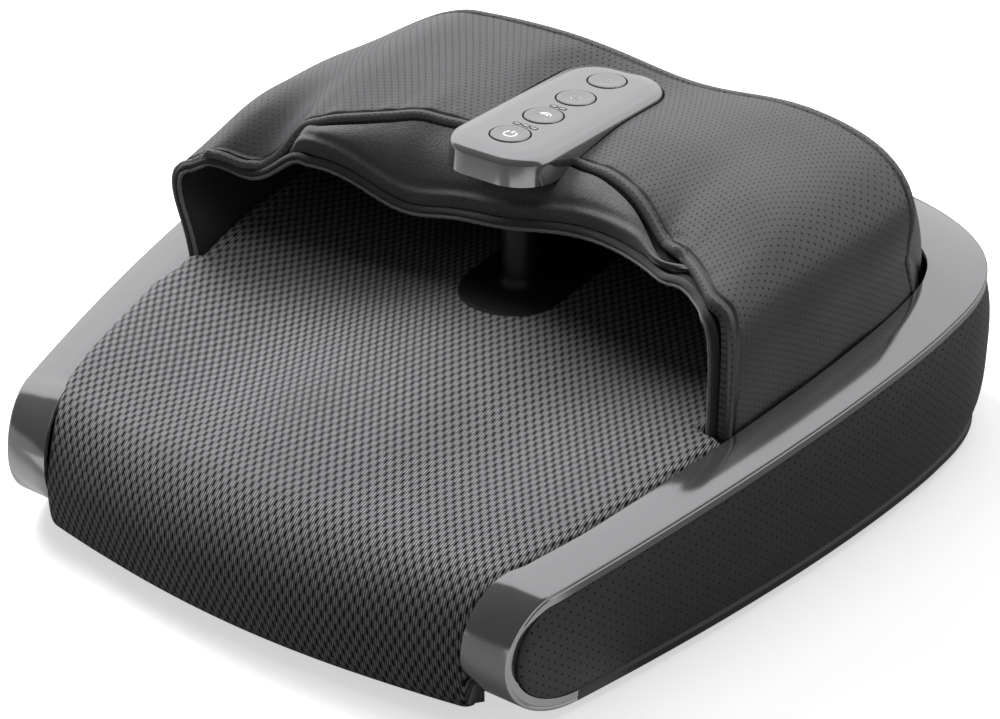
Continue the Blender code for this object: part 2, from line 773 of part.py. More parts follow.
def make_deck(mat, holes):
    """Top deck that carries the pad, rolled down at the front."""
    bm = bmesh.new()
    outline = [bm.verts.new(place(x, d, DECK_TOP)) for x, d in deck_outline()]
    bm.faces.new(outline)
    left, right = outline[-3], outline[-2]
    run = DECK_NOSE_START - DECK_FRONT
    drop = run
    for i in range(1, DECK_NOSE_STEPS + 1):
        angle = math.pi / 2 * i / DECK_NOSE_STEPS
        depth = DECK_NOSE_START - run * math.sin(angle)
        z = DECK_TOP - drop * (1 - math.cos(angle))
        pair = [bm.verts.new(place(side * DECK_HALF_AT_NOSE, depth, z)) for side in (-1, 1)]
        bm.faces.new((right, left, pair[0], pair[1]))
        left, right = pair
    low = [bm.verts.new(place(side * DECK_HALF_AT_NOSE, DECK_FRONT, DECK_SKIRT_LOW))
           for side in (-1, 1)]
    bm.faces.new((right, left, low[0], low[1]))
    deck = finish_object("top_deck", bm, mat)
    face_up(deck)
    thicken(deck, DECK_THICK)
    for hole in holes:
        cut(deck, hole)
    return deck


def face_up(obj):
    """Turn an open sheet so that its outer side faces away from the inside."""
    bm = bmesh.new()
    bm.from_mesh(obj.data)
    lean = sum(f.normal.z * f.calc_area() for f in bm.faces)
    if lean < 0:
        bmesh.ops.reverse_faces(bm, faces=bm.faces)
    bm.to_mesh(obj.data)
    bm.free()


def thicken(obj, thick):
    """Give an open sheet its thickness on its inner side."""
    mod = obj.modifiers.new("wall", 'SOLIDIFY')
    mod.thickness = thick
    mod.offset = -1.0
    mod.use_even_offset = False
    mod.use_rim = True


def pad_half(depth):
    """Half width of the foot pad at a depth."""
    step = PAD_STEP * ease(depth, PAD_STEP_START, PAD_STEP_END)
    return inner_half_width(max(depth, 0.0)) - FIT_GAP - step


def pad_top(x, depth):
    """Height of the pad's upper face."""
    full = ease(depth, TROUGH_START, TROUGH_FULL)
    trough = TROUGH_DEEP * full * (bell(x, TROUGH_X, TROUGH_WIDTH) + bell(x, -TROUGH_X, TROUGH_WIDTH))
    ridge = CENTRE_RIDGE * bell(x, 0.0, TROUGH_WIDTH)
    return top_height(depth) - PAD_EDGE_DROP - trough + ridge


def pad_front(x):
    """Depth of the pad's rounded front face at a side offset."""
    return -PAD_OVERHANG + PAD_BOW * (x / PAD_NOSE_HALF) ** 2


def pad_profile(share):
    """Closed side profile of the pad at a share of its half width."""
    edge = share * PAD_NOSE_HALF
    front = pad_front(edge)
    crest = pad_top(edge, PAD_NOSE_BACK)
    points = []
    for i in range(PAD_HEEL_STEPS + 1):
        angle = math.pi / 2 * i / PAD_HEEL_STEPS
        points.append((front + PAD_UNDERCUT * (1 - math.sin(angle)),
                       PAD_LOW + PAD_HEEL * (1 - math.cos(angle))))
    for i in range(PAD_NOSE_STEPS + 1):
        angle = math.pi / 2 * i / PAD_NOSE_STEPS
        depth = mix(front, PAD_NOSE_BACK, 1 - math.cos(angle))
        points.append((depth, mix(PAD_BELLY, crest, math.sin(angle))))
    for low, high, steps in ((PAD_NOSE_BACK, PAD_STEP_START, PAD_OPEN_STEPS),
                             (PAD_STEP_START, PAD_STEP_END, 1),
                             (PAD_STEP_END, PAD_REAR, PAD_HIDDEN_STEPS)):
        points += [(mix(low, high, (i + 1) / steps), None) for i in range(steps)]
    under = DECK_TOP + PART_GAP
    inner_front = DECK_FRONT - PART_GAP
    run = DECK_NOSE_START - DECK_FRONT
    points += [(PAD_REAR, under), (DECK_NOSE_START, under)]
    for i in range(1, DECK_NOSE_STEPS + 1):
        angle = math.pi / 2 * i / DECK_NOSE_STEPS
        depth = DECK_NOSE_START - (run + PART_GAP) * math.sin(angle)
        points.append((depth, under - run * (1 - math.cos(angle))))
    points.append((inner_front, PAD_LOW))
    return points


def make_pad(mat, pockets):
    """Foot pad: a cushion rolled over the front of the deck."""
    rings = []
    for i in range(PAD_COLUMN_STEPS + 1):
        share = -1 + 2 * i / PAD_COLUMN_STEPS
        ring = []
        for depth, z in pad_profile(share):
            x = share * pad_half(depth)
            ring.append(place(x, depth, pad_top(x, depth) if z is None else z))
        rings.append(ring)
    pad = ring_solid("foot_pad", rings, mat, smooth_angle=math.radians(60))
    for pocket in pockets:
        cut(pad, pocket)
    return pad


def oval(half, front, rear, steps=OVAL_STEPS):
    """Plan outline of a slot with round ends, as (x, depth)."""
    points = []
    for centre, start in ((rear - half, 0.0), (front + half, math.pi)):
        for i in range(steps + 1):
            angle = start + math.pi * i / steps
            points.append((half * math.cos(angle), centre + half * math.sin(angle)))
    return points


def flange_top(depth):
    """Height of the flange's upper face at a depth."""
    front = pad_top(0.0, FLANGE_FRONT) + FLANGE_LIFT
    rear = pad_top(0.0, FLANGE_REAR) + FLANGE_LIFT
    return mix(front, rear, (depth - FLANGE_FRONT) / (FLANGE_REAR - FLANGE_FRONT))


def post_ring(grow, rise, stem=False, level=None):
    """One ring of the post: grown outline, raised over the flange's slope."""
    if stem:
        outline = oval(FLANGE_HALF - grow, FLANGE_FRONT + grow, FLANGE_REAR - grow)
    else:
        outline = oval(POST_HALF + grow, POST_FRONT - grow, POST_REAR + grow)
    return [place(x, d, flange_top(d) + rise if level is None else level) for x, d in outline]


def make_post(mat):
    """Centre post with its flange and the stem that stands on the deck."""
    fillet = POST_FILLET
    bend = math.sqrt(0.5)
    rings = [post_ring(0.0, 0.0, level=panel_low_at_post() - PART_GAP),
             post_ring(0.0, fillet),
             post_ring(fillet * (1 - bend), fillet * (1 - bend)),
             post_ring(fillet, 0.0),
             post_ring(FLANGE_ROUND, 0.0, stem=True),
             post_ring(0.0, -FLANGE_ROUND, stem=True),
             post_ring(0.0, -FLANGE_THICK, stem=True),
             post_ring(STEM_INSET, -FLANGE_THICK, stem=True),
             post_ring(STEM_INSET, 0.0, stem=True, level=DECK_TOP + PART_GAP)]
    return ring_solid("center_post", rings, mat)


def panel_frame():
    """Empty on the panel's top face over the first button, tilted with it."""
    frame = bpy.data.objects.new("panel_frame", None)
    frame.location = place(0.0, BUTTON_FIRST, PANEL_TOP)
    frame.rotation_euler = (-PANEL_TILT, 0.0, 0.0)
    bpy.context.scene.collection.objects.link(frame)
    return frame


def panel_low_at_post():
    """Lowest height of the panel base over the post."""
    drop = math.sin(PANEL_TILT) * (POST_REAR - BUTTON_FIRST)
    return PANEL_TOP - PANEL_BASE_LOW - max(drop, 0.0)


def rounded_outline(half, front, rear, corner, steps=PANEL_CORNER_STEPS):
    """Rounded rectangle in plan, as (x, depth)."""
    points = []
    centres = ((half - corner, rear - corner, 0), (corner - half, rear - corner, 1),
               (corner - half, front + corner, 2), (half - corner, front + corner, 3))
    for cx, cd, quarter in centres:
        for i in range(steps + 1):
            angle = math.pi / 2 * (quarter + i / steps)
            points.append((cx + corner * math.cos(angle), cd + corner * math.sin(angle)))
    return points


def panel_ring(inset, z):
    """Ring of the panel's outline, inset and at a local height."""
    outline = rounded_outline(PANEL_HALF - inset, PANEL_FRONT + inset, PANEL_REAR - inset,
                              PANEL_CORNER - inset)
    return [(x, d - BUTTON_FIRST, z) for x, d in outline]


def panel_skin():
    """Rings of the panel's outer form, from its foot to its crown."""
    bend = 1 - math.sqrt(0.5)
    return [panel_ring(PANEL_LEAN, -PANEL_HEIGHT),
            panel_ring(0.0, -PANEL_CROWN - PANEL_EDGE),
            panel_ring(PANEL_EDGE * bend, -PANEL_CROWN - PANEL_EDGE * bend),
            panel_ring(PANEL_EDGE, -PANEL_CROWN),
            panel_ring(PANEL_EDGE + PANEL_CROWN_INSET, 0.0)]


def button_offsets():
    """Local Y of each button's axis on the panel."""
    return [i * BUTTON_PITCH for i in range(len(BUTTON_NAMES))]


def make_panel_cover(mat, frame):
    """Metal cover of the control panel, with four button holes."""
    cover = ring_solid("panel_cover", panel_skin(), mat)
    inset = PANEL_WALL + PANEL_LEAN
    hollow = ring_solid("panel_hollow", [panel_ring(inset, -PANEL_HEIGHT - CUT_OVERRUN),
                                         panel_ring(inset, PANEL_ROOF)], mat)
    cut(cover, hollow)
    bm = bmesh.new()
    for y in button_offsets():
        add_cylinder(bm, BUTTON_RADIUS + BUTTON_GAP, PANEL_ROOF - CUT_OVERRUN / 2,
                     CUT_OVERRUN / 2, BUTTON_SIDES, (0.0, y))
    holes = finish_object("button_holes", bm, mat)
    cut(cover, holes)
    for obj in (cover, hollow, holes):
        obj.parent = frame
    return cover


def make_panel_base(mat, frame):
    """Lower shell that closes the panel and stands on the post."""
    inset = PANEL_WALL + PANEL_LEAN + FIT_GAP
    rings = [panel_ring(inset, -PANEL_BASE_LOW), panel_ring(inset, -PANEL_BASE_TOP)]
    base = ring_solid("panel_base", rings, mat)
    base.parent = frame
    return base


def board_top():
    """Local height of the control board's upper face."""
    return -PANEL_BASE_TOP + PART_GAP + BOARD_THICK


def make_control_board(mat, frame):
    """Circuit board under the buttons, with its switches and lights."""
    rings = [panel_ring(BOARD_INSET, board_top() - BOARD_THICK),
             panel_ring(BOARD_INSET, board_top())]
    board = ring_solid("control_board", rings, mat)
    bm = bmesh.new()
    low = board_top() - BOARD_THICK / 2
    half = SWITCH_SIZE / 2
    for y in button_offsets():
        add_box(bm, (-half, y - half, low), (half, y + half, board_top() + SWITCH_HEIGHT))
    for y in button_offsets()[:LED_ROW_COUNT]:
        spot = y + BUTTON_PITCH / 2
        for i in (-1, 0, 1):
            x = i * LED_SPREAD
            add_box(bm, (x - LED_LENGTH / 2, spot - LED_WIDTH / 2, low),
                    (x + LED_LENGTH / 2, spot + LED_WIDTH / 2, board_top() + LED_HEIGHT))
    components = finish_object("board_components", bm, mat)
    components.parent = frame
    cut(board, components, 'UNION')
    board.parent = frame
    return board


def make_button(name, y, mat, frame):
    """Round button with a flange under the cover and a stem to its switch."""
    flange_top_z = PANEL_ROOF - BUTTON_GAP
    flange_low = flange_top_z - BUTTON_FLANGE_THICK
    stem_low = board_top() + SWITCH_HEIGHT + BUTTON_TRAVEL + BUTTON_STOP_GAP
    rim = BUTTON_RADIUS + BUTTON_FLANGE
    profile = ((BUTTON_STEM_RADIUS, stem_low), (BUTTON_STEM_RADIUS, flange_low), (rim, flange_low),
               (rim, flange_top_z), (BUTTON_RADIUS, flange_top_z), (BUTTON_RADIUS, 0.0),
               (BUTTON_RADIUS - BUTTON_PROUD, BUTTON_PROUD),
               (BUTTON_RADIUS / 2, BUTTON_PROUD - BUTTON_DISH))
    button = turned(name, profile, BUTTON_SIDES, mat, 0.0, 0.0)
    button.location = (0.0, y, 0.0)
    button.parent = frame
    return button


def gear_points(teeth, pitch_radius, module):
    """Outline of a gear with straight-flanked teeth, one tooth at angle 0."""
    tip = pitch_radius + module * TOOTH_ADDENDUM_SHARE
    root = pitch_radius - module * TOOTH_DEDENDUM_SHARE
    step = 2 * math.pi / teeth
    points = []
    for i in range(teeth):
        middle = i * step
        for radius, share in ((root, -TOOTH_ROOT_SHARE), (tip, -TOOTH_TIP_SHARE),
                              (tip, TOOTH_TIP_SHARE), (root, TOOTH_ROOT_SHARE)):
            angle = middle + share * step / 2
            points.append((radius * math.cos(angle), radius * math.sin(angle)))
    return points


def make_gear(name, teeth, pitch_radius, module, low, high, bore, turn, mat, x, depth):
    """Gear with a round bore, its origin on its axis."""
    outline = gear_points(teeth, pitch_radius, module)
    rings = [[(px, py, z) for px, py in outline] for z in (low, high)]
    gear = ring_solid(name, rings, mat)
    hole = cylinder(name + "_bore", bore, low - CUT_OVERRUN, high + CUT_OVERRUN, SHAFT_SIDES,
                    mat, 0.0, 0.0)
    hole.location = (0.0, 0.0, 0.0)
    hole.parent = gear
    cut(gear, hole)
    gear.location = place(x, depth, 0.0)
    gear.rotation_euler = (0.0, 0.0, turn)
    return gear


def make_idler_pin(name, mat, x, depth):
    """Pillar and pin that carry an idler gear."""
    profile = ((IDLER_PILLAR_RADIUS, PAN_FLOOR_TOP + PART_GAP),
               (IDLER_PILLAR_RADIUS, GEAR_LOW - PART_GAP),
               (IDLER_PIN_RADIUS, GEAR_LOW - PART_GAP), (IDLER_PIN_RADIUS, IDLER_PIN_TOP))
    return turned(name, profile, SHAFT_SIDES, mat, x, depth)


def make_head(name, mat, x, depth, turn):
    """Massage head: a plate with round knobs on its upper face."""
    low = DECK_TOP + HEAD_LIFT
    high = low + HEAD_PLATE
    bm = bmesh.new()
    add_cylinder(bm, HEAD_RADIUS, low, high, HEAD_SIDES)
    head = finish_object(name, bm, mat)
    for i in range(KNOB_COUNT):
        angle = 2 * math.pi * i / KNOB_COUNT
        centre = (KNOB_PITCH * math.cos(angle), KNOB_PITCH * math.sin(angle))
        knob = make_knob(name + "_knob%d" % i, centre, low + HEAD_PLATE / 2, high, mat)
        knob.parent = head
        cut(head, knob, 'UNION')
    head.location = place(x, depth, 0.0)
    head.rotation_euler = (0.0, 0.0, turn)
    return head


def make_knob(name, centre, low, high, mat):
    """Domed knob of a massage head."""
    profile = [(KNOB_RADIUS, low)]
    profile += [(KNOB_RADIUS * wide, high + KNOB_HEIGHT * up) for wide, up in KNOB_SHARES]
    rings = []
    for radius, z in profile:
        turns = [2 * math.pi * i / KNOB_SIDES for i in range(KNOB_SIDES)]
        rings.append([(centre[0] + radius * math.cos(a), centre[1] + radius * math.sin(a), z)
                      for a in turns])
    return ring_solid(name, rings, mat)


def make_shaft(name, mat, x, depth):
    """Upright shaft of a massage head."""
    low = PAN_FLOOR_TOP + 2 * PART_GAP
    high = DECK_TOP + HEAD_LIFT - PART_GAP
    return cylinder(name, SHAFT_RADIUS, low, high, SHAFT_SIDES, mat, x, depth)


def head_places():
    """Name, x and depth of each massage head."""
    return [("%s_%s" % (side, end), sign * HEAD_X, depth)
            for side, sign in (("left", -1), ("right", 1))
            for end, depth in (("front", FRONT_HEAD_DEPTH), ("rear", REAR_HEAD_DEPTH))]


def add_bosses(pan, mat):
    """Fuse a socketed boss to the pan floor under each head shaft."""
    bm = bmesh.new()
    for _, x, depth in head_places():
        add_cylinder(bm, BOSS_RADIUS, PAN_LOW + PAN_FLOOR / 2, PAN_FLOOR_TOP + BOSS_HEIGHT,
                     SHAFT_SIDES, (x, depth_to_y(depth)))
    cut(pan, finish_object("shaft_bosses", bm, mat), 'UNION')
    bm = bmesh.new()
    for _, x, depth in head_places():
        add_cylinder(bm, SHAFT_RADIUS + RUN_GAP, PAN_FLOOR_TOP, PAN_FLOOR_TOP + CUT_OVERRUN,
                     SHAFT_SIDES, (x, depth_to_y(depth)))
    cut(pan, finish_object("shaft_sockets", bm, mat))


def make_worm_thread(name, hand, x, mat):
    """Helical thread of a worm round local X, left or right handed."""
    module = 2 * WHEEL_RADIUS / WHEEL_TEETH
    pitch = math.pi * module
    tip = WORM_RADIUS + module * TOOTH_ADDENDUM_SHARE
    sunk = worm_root() - module * WORM_SINK_SHARE
    section = ((sunk, -WORM_ROOT_SHARE), (tip, -WORM_TIP_SHARE), (tip, WORM_TIP_SHARE),
               (sunk, WORM_ROOT_SHARE))
    rings = []
    for i in range(WORM_TURNS * WORM_SIDES + 1):
        turn = i / WORM_SIDES
        angle = 2 * math.pi * turn
        ring = []
        for radius, share in section:
            along = (turn - WORM_TURNS / 2 + share / 2) * pitch
            ring.append((hand * along, radius * math.cos(angle), radius * math.sin(angle)))
        rings.append(ring)
    thread = ring_solid(name, rings, mat, smooth_angle=math.radians(30))
    thread.location = (x, depth_to_y(WORM_DEPTH), WORM_AXIS_HEIGHT)
    return thread


def worm_root():
    """Radius of the worm's core."""
    return WORM_RADIUS - 2 * WHEEL_RADIUS / WHEEL_TEETH * TOOTH_DEDENDUM_SHARE


def side_cylinder(name, radius, low, high, sides, mat, top_radius=None):
    """Cylinder along X at the worm axis."""
    bm = bmesh.new()
    add_cylinder(bm, radius, low, high, sides, top_radius=top_radius)
    obj = finish_object(name, bm, mat)
    obj.rotation_euler = (0.0, math.pi / 2, 0.0)
    obj.location = (0.0, depth_to_y(WORM_DEPTH), WORM_AXIS_HEIGHT)
    return obj


def make_worm_shaft(mat):
    """Motor shaft with a worm at each end."""
    shaft = side_cylinder("worm_shaft", WORM_SHAFT_RADIUS, -WORM_SHAFT_HALF, WORM_SHAFT_HALF,
                          WORM_SIDES, mat)
    for side, name in ((-1, "left_worm"), (1, "right_worm")):
        middle = side * HEAD_X
        core = side_cylinder(name + "_core", worm_root(), middle - WORM_CORE_HALF,
                             middle + WORM_CORE_HALF, SHAFT_SIDES, mat)
        cut(shaft, core, 'UNION')
        cut(shaft, make_worm_thread(name + "_thread", side, middle, mat), 'UNION')
    return shaft


def make_motor(mat):
    """Motor with a collar at each end and a bore for its shaft."""
    rings = []
    profile = ((MOTOR_COLLAR_RADIUS, -MOTOR_HALF - MOTOR_COLLAR), (MOTOR_COLLAR_RADIUS, -MOTOR_HALF),
               (MOTOR_RADIUS, -MOTOR_HALF), (MOTOR_RADIUS, MOTOR_HALF),
               (MOTOR_COLLAR_RADIUS, MOTOR_HALF), (MOTOR_COLLAR_RADIUS, MOTOR_HALF + MOTOR_COLLAR),
               (WORM_SHAFT_RADIUS + RUN_GAP, MOTOR_HALF + MOTOR_COLLAR),
               (WORM_SHAFT_RADIUS + RUN_GAP, -MOTOR_HALF - MOTOR_COLLAR))
    for radius, x in profile:
        turns = [2 * math.pi * i / FOOT_SIDES for i in range(FOOT_SIDES)]
        rings.append([(x, radius * math.cos(a), radius * math.sin(a)) for a in turns])
    motor = ring_solid("drive_motor", rings, mat, closed=True)
    motor.location = (0.0, depth_to_y(WORM_DEPTH), WORM_AXIS_HEIGHT)
    return motor


def make_cradle(mat):
    """Cradle that holds the motor on the pan floor."""
    bm = bmesh.new()
    low = place(-CRADLE_HALF, WORM_DEPTH - CRADLE_WIDE, PAN_FLOOR_TOP + PART_GAP)
    high = place(CRADLE_HALF, WORM_DEPTH + CRADLE_WIDE, CRADLE_HIGH)
    add_box(bm, low, high)
    cradle = finish_object("motor_cradle", bm, mat)
    cut(cradle, side_cylinder("cradle_cut", MOTOR_RADIUS + PART_GAP, -MOTOR_HALF, MOTOR_HALF,
                              FOOT_SIDES * 2, mat))
    return cradle


def make_shaft_bearing(name, x, mat):
    """Upright block that carries one end of the worm shaft."""
    bm = bmesh.new()
    low = place(x - BEARING_THICK / 2, WORM_DEPTH - BEARING_WIDE / 2, PAN_FLOOR_TOP + PART_GAP)
    high = place(x + BEARING_THICK / 2, WORM_DEPTH + BEARING_WIDE / 2, BEARING_HIGH)
    add_box(bm, low, high)
    block = finish_object(name, bm, mat)
    cut(block, side_cylinder(name + "_bore", WORM_SHAFT_RADIUS + RUN_GAP, -WORM_SHAFT_HALF,
                             WORM_SHAFT_HALF, SHAFT_SIDES, mat))
    return block


def hood_base(depth):
    """Half width of the hood where it stands inside the band."""
    return inner_half_width(depth) - BASE_INSET


def leather_top(x):
    """Height of the leather's front edge over x, before the arch rounds it."""
    fold = LEFT_FOLD * bell(x, LEFT_FOLD_X, LEFT_FOLD_WIDTH)
    tuck = RIGHT_TUCK * bell(x, RIGHT_TUCK_X, RIGHT_TUCK_WIDTH)
    return LEATHER_FRONT_TOP - fold - tuck


def lip_top(x):
    """Height of the opening's lower edge over x, before the arch rounds it."""
    sag = sum(deep * bell(x, centre, width) for centre, width, deep in LIP_SAGS)
    lift = sum(high * ease(x * side, start, end) for side, start, end, high in LIP_LIFTS)
    return LIP_FRONT_TOP - sag + lift


def front_top(x, lip):
    """Height of the hood's front edge over x, for the leather or the lip."""
    return lip_top(x) if lip else leather_top(x)


def front_depth(x, lip):
    """Depth of the hood's front edge over x, for the leather or the lip."""
    share = min(abs(x) / HOOD_FRONT_HALF, 1.0)
    if lip:
        reach = LIP_FRONT_REACH * bell(x, 0.0, LIP_REACH_WIDTH)
        return LIP_FRONT_CENTRE - LIP_FRONT_SWEEP * share ** 2 - reach
    setback = RIGHT_SETBACK * ease(x, RIGHT_SETBACK_X, HOOD_FRONT_HALF)
    return LEATHER_FRONT_CENTRE - LEATHER_FRONT_SWEEP * share ** 2 + setback


def seam_top(x):
    """Height of the rear seam over x: two lobes with a saddle between."""
    return SEAM_TOP - SADDLE_DEEP * bell(x, SADDLE_X, SADDLE_HALF)


def arch_shares(columns):
    """Even steps along the hood's arch, as (across, rise) shares."""
    high = LEATHER_FRONT_TOP - DECK_TOP
    dense = []
    for i in range(ARCH_STEPS + 1):
        angle = math.pi / 2 * i / ARCH_STEPS
        dense.append((math.cos(angle) ** (2 / HOOD_WALL_POWER),
                      math.sin(angle) ** (2 / HOOD_RISE_POWER)))
    dense[-1] = (0.0, 1.0)
    runs = [0.0]
    for (a0, r0), (a1, r1) in zip(dense, dense[1:]):
        runs.append(runs[-1] + math.hypot((a1 - a0) * HOOD_FRONT_HALF, (r1 - r0) * high))
    right = []
    for i in range(columns // 2):
        goal = runs[-1] * i / (columns // 2)
        k = max(j for j in range(ARCH_STEPS) if runs[j] <= goal)
        t = (goal - runs[k]) / (runs[k + 1] - runs[k])
        right.append((mix(dense[k][0], dense[k + 1][0], t), mix(dense[k][1], dense[k + 1][1], t)))
    return [(-a, r) for a, r in right] + [(0.0, 1.0)] + right[::-1]


def hood_point(share, v, lip=False, inset=0.0, drop=0.0):
    """Point of the hood at an (across, rise) share, v from front to seam.

    v beyond 1 goes down the back panel to the deck at v = 2. The lip form is
    the one that starts at the opening's lower edge.
    """
    across, rise = share
    low = DECK_TOP + PART_GAP + BACK_FOOT_LIFT * max(v - 1.0, 0.0)
    ahead = min(v, 1.0)
    front_x = across * (HOOD_FRONT_HALF - inset)
    seam_d = mix(HOOD_CORNER_DEPTH, SEAM_DEPTH - drop - SEAM_SWEEP * across ** 2,
                 min(rise * SEAM_CORNER_SHARE, 1.0))
    front_d = front_depth(front_x, lip) + (LINING_FRONT_SET if lip else 0.0)
    depth = mix(front_d, seam_d, ahead)
    clear = max(rise - BULGE_START_SHARE, 0.0) / (1 - BULGE_START_SHARE)
    bulge = SIDE_BULGE_SHARE * ahead * math.sin(math.pi * clear)
    x = across * (hood_base(depth) - inset) * (1 + bulge)
    base_top = LIP_FRONT_TOP - LINING_FRONT_DROP if lip else LEATHER_FRONT_TOP
    fold = front_top(x, lip) - (LIP_FRONT_TOP if lip else LEATHER_FRONT_TOP)
    fade = (1 - ahead) ** (LIP_FADE_POWER if lip else FOLD_FADE_POWER)
    top = mix(base_top, seam_top(x) - drop, ahead) + fold * fade
    top += CROWN_LIFT * 4 * ahead * (1 - ahead)
    top -= LEFT_DROP * ahead * ease(-x, LEFT_DROP_START, LEFT_DROP_END)
    z = low + (top - low) * rise
    if v <= 1.0:
        return Vector((x, depth, z))
    down = v - 1.0
    spread = signed_power(across, HOOD_WALL_POWER / HOOD_BACK_POWER)
    foot_x = spread * (HOOD_BACK_HALF - inset)
    run = BODY_DEPTH - BAND_REAR_WIDTH - BASE_INSET - inset - WIDEST_DEPTH
    side = BODY_WIDTH / 2 - band_width(WIDEST_DEPTH) - BASE_INSET - inset
    foot_d = WIDEST_DEPTH + run * (1 - abs(foot_x / side) ** REAR_POWER) ** (1 / REAR_POWER)
    back = 1 - (1 - down) ** HOOD_BACK_EASE
    return Vector((mix(x, foot_x, down), mix(depth, foot_d, back), mix(z, low, down)))


def hood_rows(rows, back_rows):
    """v of each row, front to seam and on down the back."""
    ahead = [i / rows for i in range(rows + 1)]
    return ahead + [1 + (i + 1) / back_rows for i in range(back_rows)]


def sheet_object(name, grid, mat):
    """Open sheet over a grid of points given as (x, depth, z)."""
    bm = bmesh.new()
    verts = [[bm.verts.new(place(*p)) for p in row] for row in grid]
    for low, high in zip(verts, verts[1:]):
        for i in range(len(low) - 1):
            bm.faces.new((low[i], low[i + 1], high[i + 1], high[i]))
    sheet = finish_object(name, bm, mat, math.radians(60))
    face_up(sheet)
    return sheet


def make_hood_cover(mat, hole):
    """Leather cover of the hood, open at the front, cut for the panel."""
    grid = [[hood_point(share, v) for share in arch_shares(HOOD_COLUMN_STEPS)]
            for v in hood_rows(HOOD_ROW_STEPS, HOOD_BACK_STEPS)]
    cover = sheet_object("hood_cover", grid, mat)
    thicken(cover, HOOD_THICK)
    cut(cover, hole)
    return cover


def lining_grid(rows, columns, out=0.0):
    """Points of the lining's outer face, or of a skin outside it."""
    shares = arch_shares(LINING_COLUMN_STEPS)
    return [[hood_point(shares[i], v, lip=True, inset=LINING_INSET - out, drop=LINING_DROP - out)
             for i in columns] for v in rows]


def make_lining(mat, hole):
    """Inner lining of the hood, which makes the two foot chambers."""
    grid = lining_grid(hood_rows(LINING_ROW_STEPS, LINING_BACK_STEPS), range(LINING_COLUMN_STEPS + 1))
    lining = sheet_object("hood_lining", grid, mat)
    thicken(lining, LINING_THICK)
    cut(lining, hole)
    return lining


def leather_edge(x):
    """Front edge of the leather over x."""
    return Vector((x, front_depth(x, False), front_top(x, False)))


def lip_edge(x):
    """Lower front edge of the opening over x."""
    return Vector((x, front_depth(x, True), front_top(x, True)))


def make_flap(mat, hole):
    """Felt flap between the leather edge and the lip, under the panel."""
    grid = []
    for j in range(FLAP_ROW_STEPS + 1):
        t = j / FLAP_ROW_STEPS
        row = []
        for i in range(FLAP_COLUMN_STEPS + 1):
            x = mix(-FLAP_LEFT, FLAP_RIGHT, i / FLAP_COLUMN_STEPS)
            top, low = leather_edge(x), lip_edge(x)
            run = (low - top).normalized()
            start = top + run * FLAP_SET
            end = low - run * FLAP_END_GAP
            point = start.lerp(end, t)
            point.y -= FLAP_BULGE * math.sin(math.pi * t)
            point.z += FLAP_BULGE * math.sin(math.pi * t)
            row.append(point)
        grid.append(row)
    flap = sheet_object("front_flap", grid, mat)
    thicken(flap, FLAP_THICK)
    cut(flap, hole)
    return flap


def lip_path(share):
    """Point of the binding's middle at an (across, rise) share."""
    across, rise = share
    x = across * (HOOD_FRONT_HALF - HOOD_THICK - BINDING_RADIUS - BASE_INSET - FIT_GAP)
    low = DECK_TOP + PART_GAP
    return Vector((x, front_depth(x, True) - BINDING_RADIUS - FIT_GAP,
                   low + (front_top(x, True) - low) * rise))


def make_binding(mat):
    """Rolled binding along the opening's edge."""
    rings = []
    spots = [lip_path(share) for share in arch_shares(BINDING_STEPS)]
    for i, spot in enumerate(spots):
        ahead = spots[min(i + 1, BINDING_STEPS)] - spots[max(i - 1, 0)]
        ahead.normalize()
        side = ahead.cross(Vector((0, 1, 0))).normalized()
        up = side.cross(ahead).normalized()
        ring = []
        for k in range(BINDING_SIDES):
            angle = 2 * math.pi * k / BINDING_SIDES
            p = spot + (side * math.cos(angle) + up * math.sin(angle)) * BINDING_RADIUS
            ring.append(place(*p))
        rings.append(ring)
    return ring_solid("front_binding", rings, mat, smooth_angle=math.radians(60))


def make_air_bag(name, mirror, mat):
    """Flat air bag that lies on the lining over one foot."""
    rows = hood_rows(LINING_ROW_STEPS, LINING_BACK_STEPS)[BAG_ROW_STEPS[0]:BAG_ROW_STEPS[1] + 1]
    columns = range(BAG_COLUMN_STEPS[0], BAG_COLUMN_STEPS[1] + 1)
    if mirror:
        columns = [LINING_COLUMN_STEPS - i for i in reversed(columns)]
    bag = sheet_object(name, lining_grid(rows, columns, BAG_GAP), mat)
    mod = bag.modifiers.new("bag", 'SOLIDIFY')
    mod.thickness = BAG_THICK
    mod.offset = 1.0
    mod.use_rim = True
    return bag


def panel_hole(name, inset, low, high, frame, mat):
    """Cutter of the panel's outline between two local heights."""
    rings = [panel_ring(inset, low), panel_ring(inset, high)]
    cutter = ring_solid(name, rings, mat)
    cutter.parent = frame
    return cutter


def oval_cutter(name, grow, half, front, rear, low, high, mat):
    """Cutter of a slot with round ends between two heights."""
    outline = oval(half + grow, front - grow, rear + grow)
    return ring_solid(name, [[place(x, d, z) for x, d in outline] for z in (low, high)], mat)


